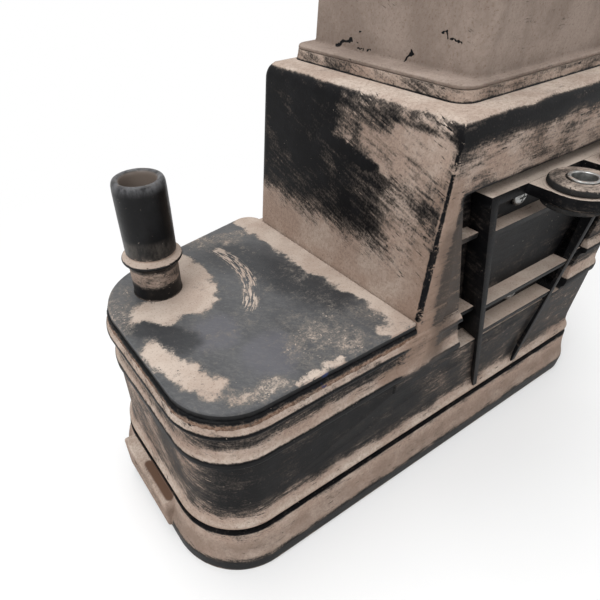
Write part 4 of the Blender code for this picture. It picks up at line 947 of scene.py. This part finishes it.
def lower_wall_cover(s):
    """Dust on the low chamber's walls: thick on each ledge, thin between, thicker again round the nose."""
    walls = s.bands(
        s.z,
        [
            (25.0, 0.0), (25.8, 0.15), (26.5, 0.5), (27.3, 0.85), (32.0, 0.8), (36.0, 0.42), (43.0, 0.16),
            (60.0, 0.12), (66.0, 0.2), (67.4, 0.25), (68.3, 0.0), (71.2, 0.0), (72.2, 0.92), (76.0, 0.78),
            (78.5, 0.4), (83.0, 0.24), (85.0, 0.0), (87.0, 0.0), (87.6, 0.75), (93.0, 0.8),
        ],
    )
    nose = s.span(s.x, -86.0, -97.0)
    field = s.within(s.z, 34.0, 38.0, 66.0, 67.5)
    cove = s.within(s.z, 72.0, 76.0, 84.0, 85.0)
    nose_amount = s.between(s.stroke((-95, -24, 50), (-95, -20, 64), 5.0, 9.0), 0.54, 0.36)
    walls = s.between(s.times(nose, s.math("MAXIMUM", field, cove)), walls, nose_amount)
    beside_leg = s.times(s.span(s.x, 6.0, 20.0), s.within(s.z, 36.0, 40.0, 64.0, 67.0))
    walls = s.between(beside_leg, walls, 0.34)
    corner = s.times(s.within(s.x, -10.0, -1.0, 11.0, 15.0), s.span(s.z, 66.0, 73.0))
    return s.between(s.times(corner, 0.85), walls, 0.8)


def tall_wall_cover(s):
    """Dust on the tall chamber: a rubbed band across its front, black worn edges, and a dusty side panel."""
    front_bands = [
        (90.0, 1.0), (106.0, 0.92), (113.0, 0.66), (121.0, 0.22), (150.0, 0.1), (165.0, 0.1), (170.0, 0.6),
    ]
    tall = s.bands(s.z, front_bands)
    tall = s.painted(
        tall,
        [
            ((0, -18, 154.5), (0, -42, 154), 6.0, 9.0, 0.74),
            ((0, 1, 151), (0, -3, 151), 2.0, 4.0, 0.68),
            ((0, -22, 147), (0, -46, 143), 3.0, 7.0, 0.66),
            ((0, -2, 159), (0, -18, 163), 3.0, 7.0, 0.38),
            ((0, 5, 141), (0, -30, 133), 4.0, 6.0, 0.24),
            ((0, -30, 134), (0, -46, 126), 4.0, 8.0, 0.55),
            ((0, -36, 121), (0, -50, 117), 3.0, 8.0, 0.72),
            ((0, 10, 147), (0, -20, 143), 1.0, 3.0, 0.05),
        ],
    )
    side = s.span(s.y, -50.0, -51.2)
    beside = s.times(side, s.span(s.x, 0.6, 1.8))
    edge_strip = s.times(beside, s.span(s.x, 10.0, 6.5))
    panel = s.times(beside, s.span(s.z, 141.0, 146.0))
    tall = s.between(beside, tall, 0.38)
    tall = s.between(edge_strip, tall, 0.8)
    panel_bands = [(140.0, 0.64), (150.0, 0.66), (157.0, 0.6), (161.0, 0.12), (166.0, 0.0)]
    tall = s.between(panel, tall, s.bands(s.z, panel_bands))
    worn_low = s.stroke((0.9, -53.2, 97.0), (1.4, -52.2, 126.0), 0.4, 1.3, False)
    worn_high = s.stroke((1.4, -52.2, 126.0), (1.9, -51.2, 161.0), 0.1, 0.9, False)
    chips = s.span(s.noise(3.5, 8, 0.85, seed=61.0), 0.4, 0.5)
    top_edge = s.times(s.span(s.x, 3.0, 1.5), s.span(s.z, 159.0, 162.0))
    tall = s.between(top_edge, tall, -0.15)
    return s.between(s.times(s.math("MAXIMUM", worn_low, worn_high), chips), tall, -0.4)


def housing_cover(s):
    cover = s.between(s.span(s.z, 89.0, 91.5), lower_wall_cover(s), tall_wall_cover(s))
    pocket = s.times(s.within(s.y, -53.2, -52.2, -46.5, -44.0), s.within(s.z, 64.0, 66.0, 143.0, 144.0))
    cover = s.between(s.times(pocket, s.span(s.x, 8.0, 10.0)), cover, 0.2)
    cover = s.between(s.span(s.z, 165.9, 166.4), cover, 0.6)
    flat = s.span(s.up, 0.7, 0.95)
    return s.between(flat, cover, 0.88)


def earthy(s, colour, share, earth):
    """The colour where black shows, and a share of an earth tone where dust lies."""
    pale = s.node("ShaderNodeRGBToBW", {0: colour}).outputs[0]
    return s.blend(s.times(share, s.span(pale, 0.04, 0.2)), colour, earth)


def rusty_corner(s, colour):
    """Browner dust down the tall chamber's near front corner, and a darker brown patch between it and the
    pocket.
    """
    corner = s.stroke((7, -54, 78), (5, -52, 138), 5.0, 9.0)
    ledges = s.stroke((-8, -55, 74), (4, -56, 90), 5.0, 7.0)
    earth = s.blend(s.noise(5.0, 5, 0.7, seed=67.0), (0.30, 0.205, 0.155), (0.13, 0.085, 0.062))
    colour = earthy(s, colour, s.times(s.math("MAXIMUM", corner, ledges), 0.7), earth)
    # Darker brown over the face between the corner and the pocket
    dark_brown_patch = s.times(s.stroke((16, -53, 74), (12, -52, 128), 3.0, 8.0), s.span(s.y, -48.0, -50.0))
    return s.blend(s.times(dark_brown_patch, 0.6), colour, (0.075, 0.058, 0.048))


def deck_cover_amount(s):
    """Bare plastic with patches of clay, and the arc that a wiping hand or brush left."""
    top = s.painted(
        0.14,
        [
            ((-40, -20, 96), (-20, 10, 96), 12.0, 16.0, 0.2),
            ((-42, -41, 96), (-12, -42, 96), 7.0, 9.0, 0.34),
            ((-38, 50, 96), (-18, 42, 96), 3.0, 6.0, 0.46),
            ((-88, 32, 96), (-91, 12, 96), 5.0, 6.0, 0.4),
            ((-58, 24, 96), (-62, 12, 96), 9.0, 5.0, 0.9),
            ((-55, 38, 96), (-54, 28, 96), 5.0, 5.0, 0.9),
            ((-64, 12, 96), (-80, 10, 96), 6.5, 5.0, 0.88),
            ((-86, 6, 96), (-80, -10, 96), 1.5, 4.0, 0.0),
            ((-90, -10, 96), (-86, -26, 96), 2.5, 5.0, 0.88),
            ((-86, -28, 96), (-81, -39, 96), 3.0, 5.0, 0.84),
            ((-78, -46, 96), (-62, -50, 96), 2.0, 4.0, 0.52),
            ((-56, -53, 96), (-38, -53, 96), 1.2, 2.0, 0.72),
            ((-3, 60, 96), (-3, 0, 96), 7.0, 4.0, 0.95),
            ((-1, 0, 96), (1, -54, 96), 5.5, 5.0, 0.95),
            ((-12, -50, 96), (-4, -52, 96), 2.5, 3.0, 0.85),
        ],
    )
    radius, turn = s.around(-80.0, 25.0)
    swept = s.times(s.within(radius, 42.5, 45.0, 48.5, 51.5), s.within(turn, -0.95, -0.7, 0.2, 0.42))
    brush = s.noise(1.0, 4, 0.6, place=s.polar(radius, turn, 0.75, 7.0))
    top = s.between(swept, top, s.span(brush, 0.38, 0.62, 0.05, 0.95))
    return s.between(s.span(s.z, 95.2, 94.6), top, -0.1)


def deck_film_and_reflection(s, base):
    """The grey on the deck's top, partly a wiped dust film and partly painted reflection of the bright sky,
    with paler smears, and the black of its edge.
    """
    # Painted reflection: this grey base colour stands in partly for sky glare on the black plastic, and
    # partly for a wiped dust film
    film_and_reflection_grey = s.blend(s.noise(12.0, 7, 0.7, (1, 2.5, 1), 41.0), (0.03, 0.031, 0.034), (0.115, 0.116, 0.12))
    wiped = s.span(s.noise(1.1, 7, 0.8, (2.5, 1, 1), 53.0, place=s.turned("Z", 0.9)), 0.45, 0.62)
    film_and_reflection_grey = s.blend(s.times(wiped, 0.35), film_and_reflection_grey, (0.16, 0.155, 0.15))
    pale_middle = s.stroke((-66, -15, 96), (-64, -12, 96), 5.0, 7.0)
    pale_near = s.stroke((-57, -38, 96), (-54, -34, 96), 6.0, 7.0)
    film_and_reflection_grey = s.blend(s.times(s.add(pale_middle, pale_near), 0.55), film_and_reflection_grey, (0.115, 0.113, 0.13))
    dark_nose = s.stroke((-86, 6, 96), (-79, -12, 96), 3.5, 6.0)
    dark_rear = s.stroke((-30, 30, 96), (-16, -20, 96), 5.0, 12.0)
    film_and_reflection_grey = s.blend(s.times(s.add(dark_nose, dark_rear), 0.7), film_and_reflection_grey, (0.018, 0.019, 0.021))
    return s.blend(s.span(s.z, 95.4, 94.9), film_and_reflection_grey, base)


def spigot_cover(s):
    height = s.math("SUBTRACT", s.z, DECK_TOP)
    outside = s.bands(
        height,
        [
            (-8.0, 0.5), (0.0, 0.5), (0.9, 0.1), (5.0, 0.1), (7.0, 0.56), (12.0, 0.62), (14.0, 0.2),
            (15.4, 0.0), (16.4, 0.05), (16.9, 0.9), (18.4, 0.85), (18.9, 0.3), (22.0, 0.12), (26.0, 0.02),
            (43.0, 0.04), (45.5, 0.12), (47.2, 0.22), (47.6, 0.22),
        ],
    )
    radius = s.around(SPIGOT.x, SPIGOT.y)[0]
    return s.between(s.span(radius, 7.4, 6.9), outside, 0.1)


def spigot_tint(s, base):
    """A smooth grey film in the bore, on the rim and just above the collar."""
    height = s.math("SUBTRACT", s.z, DECK_TOP)
    radius = s.around(SPIGOT.x, SPIGOT.y)[0]
    cloud = s.span(s.noise(3.0, 6, 0.7, (1, 1, 2.5), 71.0), 0.35, 0.65, 0.15, 1.0)
    film = s.within(height, 18.4, 19.2, 24.5, 27.0)
    base = s.blend(s.times(film, cloud), base, (0.055, 0.048, 0.042))
    base = s.blend(s.times(s.span(height, 43.5, 47.0), cloud), base, (0.1, 0.1, 0.105))
    return s.blend(s.span(radius, 7.6, 6.8), base, (0.16, 0.13, 0.11))


def skirt_cover(s):
    cover = s.bands(
        s.z,
        [
            (0.0, 0.2), (1.2, 0.5), (2.4, 0.42), (3.0, 0.0), (6.0, 0.0), (9.0, 0.35), (11.0, 0.8),
            (21.0, 0.85), (24.7, 0.6), (25.2, 0.25), (25.4, 0.1),
        ],
    )
    pad = s.times(s.span(s.x, -99.0, -100.0), s.within(s.y, -25.0, -24.5, 20.0, 20.5), s.span(s.z, 5.0, 6.0))
    return s.between(pad, cover, 0.85)


def skirt_tone(s, colour):
    """Browner dust low on the skirt, and the bare brown strip along the top of the nose pad."""
    cloud = s.span(s.noise(12.0, 5, 0.65, seed=73.0), 0.3, 0.65, 0.25, 0.75)
    colour = earthy(s, colour, s.times(s.span(s.z, 23.0, 16.0), cloud), (0.2, 0.145, 0.115))
    strip = s.stroke((-101, -22, 24.6), (-101, -1, 24.6), 1.4, 1.2, False)
    return s.blend(strip, colour, (0.12, 0.072, 0.05))


def blue_dabs(s, colour):
    """Two small dabs of blue marker on the near edge."""
    on_plate = s.stroke((-45, -54, 94.8), (-43, -54, 95), 0.7, 1.0)
    on_weld = s.stroke((-46, -54.5, 91), (-45, -54.5, 90.6), 0.4, 0.8)
    return s.blend(s.times(s.add(on_plate, on_weld), 0.7), colour, (0.012, 0.03, 0.12))


def weld_cover(s):
    return s.bands(s.z, [(87.5, 0.2), (88.3, 0.66), (89.2, 0.74), (91.2, 0.72), (92.2, 0.15), (94.0, 0.0)])


def vent_cover(s):
    """Dust all over the vent box, chipped off in a few thin black marks on its front."""
    marks = [
        ((25, 32.0, 172.8), (25, 24.5, 173.0), 0.5, 0.7),
        ((25, 24.5, 173.0), (25, 18.0, 175.8), 0.4, 0.6),
        ((25, 21.0, 171.4), (25, 11.5, 171.2), 0.15, 0.4),
        ((25, -7.2, 174.0), (25, -6.8, 172.4), 0.3, 0.5),
        ((25, -20.0, 181.7), (25, -28.0, 179.2), 0.1, 0.45),
    ]
    level = s.bands(s.z, [(169.0, 0.55), (170.9, 0.85), (175.0, 0.9), (204.0, 0.8)])
    for start, end, radius, soft in marks:
        level = s.between(s.stroke(start, end, radius, soft), level, -0.9)
    return s.between(s.span(s.up, 0.5, 0.9), level, 0.92)


def even(amount, top):
    """The same dust on every side, and another amount on faces that look up."""
    return lambda s: s.between(s.span(s.up, 0.5, 0.9), amount, top)


def metal(name, colour, rough, dust):
    """Worn metal with fine grain, dull patches and some dust."""
    s = Shader(name)
    dull = s.noise(3.0, 6, 0.65)
    lines = s.noise(0.5, 4, 0.6, seed=5.0)
    level = s.add(s.centred(dull, 1.4), s.centred(lines, 0.8), s.span(s.up, 0.3, 0.9, 0.0, 0.2), dust)
    dusted = s.span(level, 0.45, 0.75)
    tone = s.blend(s.span(dull, 0.35, 0.65), colour, tuple(c * 0.62 for c in colour))
    s.bump(s.add(s.times(lines, 0.5), s.times(dusted, 0.8)), 0.3, 0.08)
    roughness = s.add(rough, s.centred(lines, 0.3), s.times(dusted, 0.45))
    made = s.finish(s.blend(dusted, tone, CLAY_DEEP), roughness, 0.5)
    s.put(s.surface.inputs["Metallic"], s.math("SUBTRACT", 1.0, dusted))
    return made


def fibrous(name, pale, dark, size, stretch=(1, 1, 1)):
    """Needled felt or open foam: a tangle of pale strands, with painted shade in the hollows between them."""
    s = Shader(name)
    strands = s.noise(size, 5, 0.8, stretch)
    across = s.noise(size, 5, 0.8, (stretch[1], stretch[0], stretch[2]), 9.0)
    tangle = s.math("MAXIMUM", strands, across)
    cloud = s.noise(size * 14, 4, 0.6, seed=3.0)
    # Painted shade: the hollows between strands take the dark tone
    tone = s.blend(s.span(tangle, 0.42, 0.64), dark, pale)
    tone = s.blend(s.times(s.span(cloud, 0.45, 0.7), 0.35), tone, dark)
    s.bump(tangle, 0.9, size)
    made = s.finish(tone, s.span(tangle, 0.3, 0.7, 0.98, 0.85), 0.15)
    s.surface.inputs["Sheen Weight"].default_value = 0.25
    return made


def granular(name, dark, pale, size):
    """Loose granules packed together, each a little different in tone and darker towards its edge as painted
    shade between granules.
    """
    s = Shader(name)
    cells = s.node("ShaderNodeTexVoronoi", {"Vector": s.vector("SCALE", s.place, scale=1 / size)})
    tones = s.node("ShaderNodeSeparateColor", {0: cells.outputs["Color"]}).outputs
    away = cells.outputs["Distance"]
    # Painted shade: each granule darkens towards its edge, where it meets the next
    tone = s.blend(s.times(tones[0], s.span(away, 0.7, 0.1)), dark, pale)
    s.bump(s.math("SUBTRACT", 1.0, away), 1.0, size)
    return s.finish(tone, s.span(tones[1], 0.0, 1.0, 0.5, 0.95), 0.3)


def copper_wire():
    """Enamelled wire: its tone varies over the coil, and its gloss from turn to turn."""
    s = Shader("enamelled_copper")
    tone = s.noise(2.0, 5, 0.6)
    rings = s.noise(0.3, 3, 0.5, (20, 20, 1), 7.0)
    s.bump(rings, 0.3, 0.1)
    colour = s.blend(s.span(tone, 0.35, 0.65), (0.42, 0.13, 0.045), (0.24, 0.07, 0.03))
    return s.finish(colour, s.span(rings, 0.3, 0.7, 0.2, 0.45), 0.5, 0.7)


def paint(piece, finish):
    piece.data.materials.clear()
    piece.data.materials.append(finish)


black_parts = dusty("bracket", even(0.16, 0.88), patchy=0.85)
inner_black = dusty("clean_black", even(0.05, 0.1), patchy=0.4)
zinc = metal("zinc", (0.42, 0.42, 0.41), 0.38, 0.3)
bright = metal("bright_steel", (0.55, 0.55, 0.56), 0.28, 0.0)
wire_steel = metal("spring_wire", (0.5, 0.5, 0.52), 0.3, 0.0)
tin = metal("tin", (0.66, 0.64, 0.58), 0.22, 0.0)
rubber = dusty("rubber", even(0.2, 0.6), bare=(0.014, 0.014, 0.014), gloss=0.7, patchy=0.7)
clean_rubber = dusty("clean_rubber", even(0.0, 0.05), bare=(0.016, 0.016, 0.016), gloss=0.65, patchy=0.4)
fleece = fibrous("fleece", (0.72, 0.70, 0.65), (0.46, 0.44, 0.40), 0.5, (5, 1, 1))
foam = fibrous("filter_foam", (0.16, 0.15, 0.14), (0.012, 0.012, 0.012), 0.9)
carbon = granular("charcoal_granules", (0.004, 0.004, 0.004), (0.045, 0.045, 0.045), 2.2)

weld_tones = ((0.38, 0.285, 0.23), (0.24, 0.16, 0.12))
# Greyer clay for the vent box, darkened all over as painted shade for its faces that are lit less
vent_grey_and_shaded_tones = ((0.34, 0.275, 0.235), (0.215, 0.17, 0.143))
deck_film = (0.16, 0.145, 0.13)
housing_dust = dusty("housing", housing_cover, brown=0.2, over=rusty_corner)
weld_dust = dusty("weld", weld_cover, streaks=(3, 3, 1), brown=0.8, over=blue_dabs, clay_tones=weld_tones)
deck_look = {"film": deck_film, "gloss": 0.42, "tint": deck_film_and_reflection, "over": blue_dabs, "specular": 0.2}
deck_dust = dusty("deck", deck_cover_amount, streaks=(2, 2, 1), **deck_look)
spigot_look = {"patchy": 0.65, "gloss": 0.36, "tint": spigot_tint, "specular": 0.2}
spigot_dust = dusty("spigot", spigot_cover, streaks=(4, 4, 1), **spigot_look)
skirt_dust = dusty("skirt", skirt_cover, brown=0.2, over=skirt_tone)
vent_dust = dusty("vent", vent_cover, patchy=0.6, brown=0.12, clay_tones=vent_grey_and_shaded_tones)

finishes = [
    (housing_dust, [housing]),
    (weld_dust, [bead]),
    (deck_dust, [deck]),
    (spigot_dust, [spigot]),
    (skirt_dust, [skirt]),
    (vent_dust, [vent, lid]),
    (black_parts, [bracket, body, cap] + pipes),
    (rubber, bushes),
    (zinc, sleeves + screws),
    (wire_steel, springs),
    (copper_wire(), [copper]),
]
for finish, pieces in finishes:
    for piece in pieces:
        paint(piece, finish)

kept_finishes = [
    (carbon, ["front_charcoal_bed", "rear_charcoal_bed"]),
    (fleece, ["front_upper_fleece", "front_lower_fleece", "rear_upper_fleece", "rear_lower_fleece"]),
    (inner_black, ["front_retainer_plate", "rear_retainer_plate", "relief_cage"]),
    (foam, ["dust_filter"]),
    (clean_rubber, ["lid_seal", "relief_disc", "plunger_seal"]),
    (bright, ["magnet_core", "valve_plunger"]),
    (tin, ["connector_pin_near", "connector_pin_far"]),
]
for finish, nodes in kept_finishes:
    for node in nodes:
        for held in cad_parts[node].material_slots:
            held.material = finish


# Floor and backdrop

def white_rays(tree):
    """1 for rays that should see plain white behind the object: straight, mirrored or through glass."""
    rays = tree.nodes.new("ShaderNodeLightPath")
    seen = rays.outputs["Is Camera Ray"]
    for name in ("Is Glossy Ray", "Is Transmission Ray"):
        either = tree.nodes.new("ShaderNodeMath")
        either.operation = "MAXIMUM"
        tree.links.new(seen, either.inputs[0])
        tree.links.new(rays.outputs[name], either.inputs[1])
        seen = either.outputs[0]
    return seen


def pale_floor():
    """White ground: near the object it takes light and shadow, and further off it only glows white."""
    s = Shader("pale_floor")
    material = s.finish((0.9, 0.9, 0.9), 0.9, 0.0)
    away = s.vector("LENGTH", s.place)
    seen = white_rays(s.tree)
    glow = s.node("ShaderNodeEmission", {"Strength": seen})
    share = s.times(s.span(away, 150.0, 420.0, 0.3, 1.0), seen)
    mix = s.node("ShaderNodeMixShader", {0: share, 1: s.surface.outputs[0], 2: glow.outputs[0]})
    s.put(s.tree.nodes["Material Output"].inputs[0], mix.outputs[0])
    return material


def pale_world(level):
    world = bpy.data.worlds.new("studio")
    world.use_nodes = True
    tree = world.node_tree
    power = tree.nodes.new("ShaderNodeMapRange")
    tree.links.new(white_rays(tree), power.inputs[0])
    power.inputs["To Min"].default_value = level
    power.inputs["To Max"].default_value = 1.0
    tree.links.new(power.outputs[0], tree.nodes["Background"].inputs["Strength"])
    tree.nodes["Background"].inputs["Color"].default_value = (1, 1, 1, 1)
    bpy.context.scene.world = world


FLOOR_HALF_M = 4.0
WORLD_LEVEL = 0.42
ground = bmesh.new()
bmesh.ops.create_grid(ground, size=FLOOR_HALF_M)
floor = from_bmesh("floor", ground)
paint(floor, pale_floor())
pale_world(WORLD_LEVEL)
bpy.context.scene.view_settings.view_transform = "Standard"
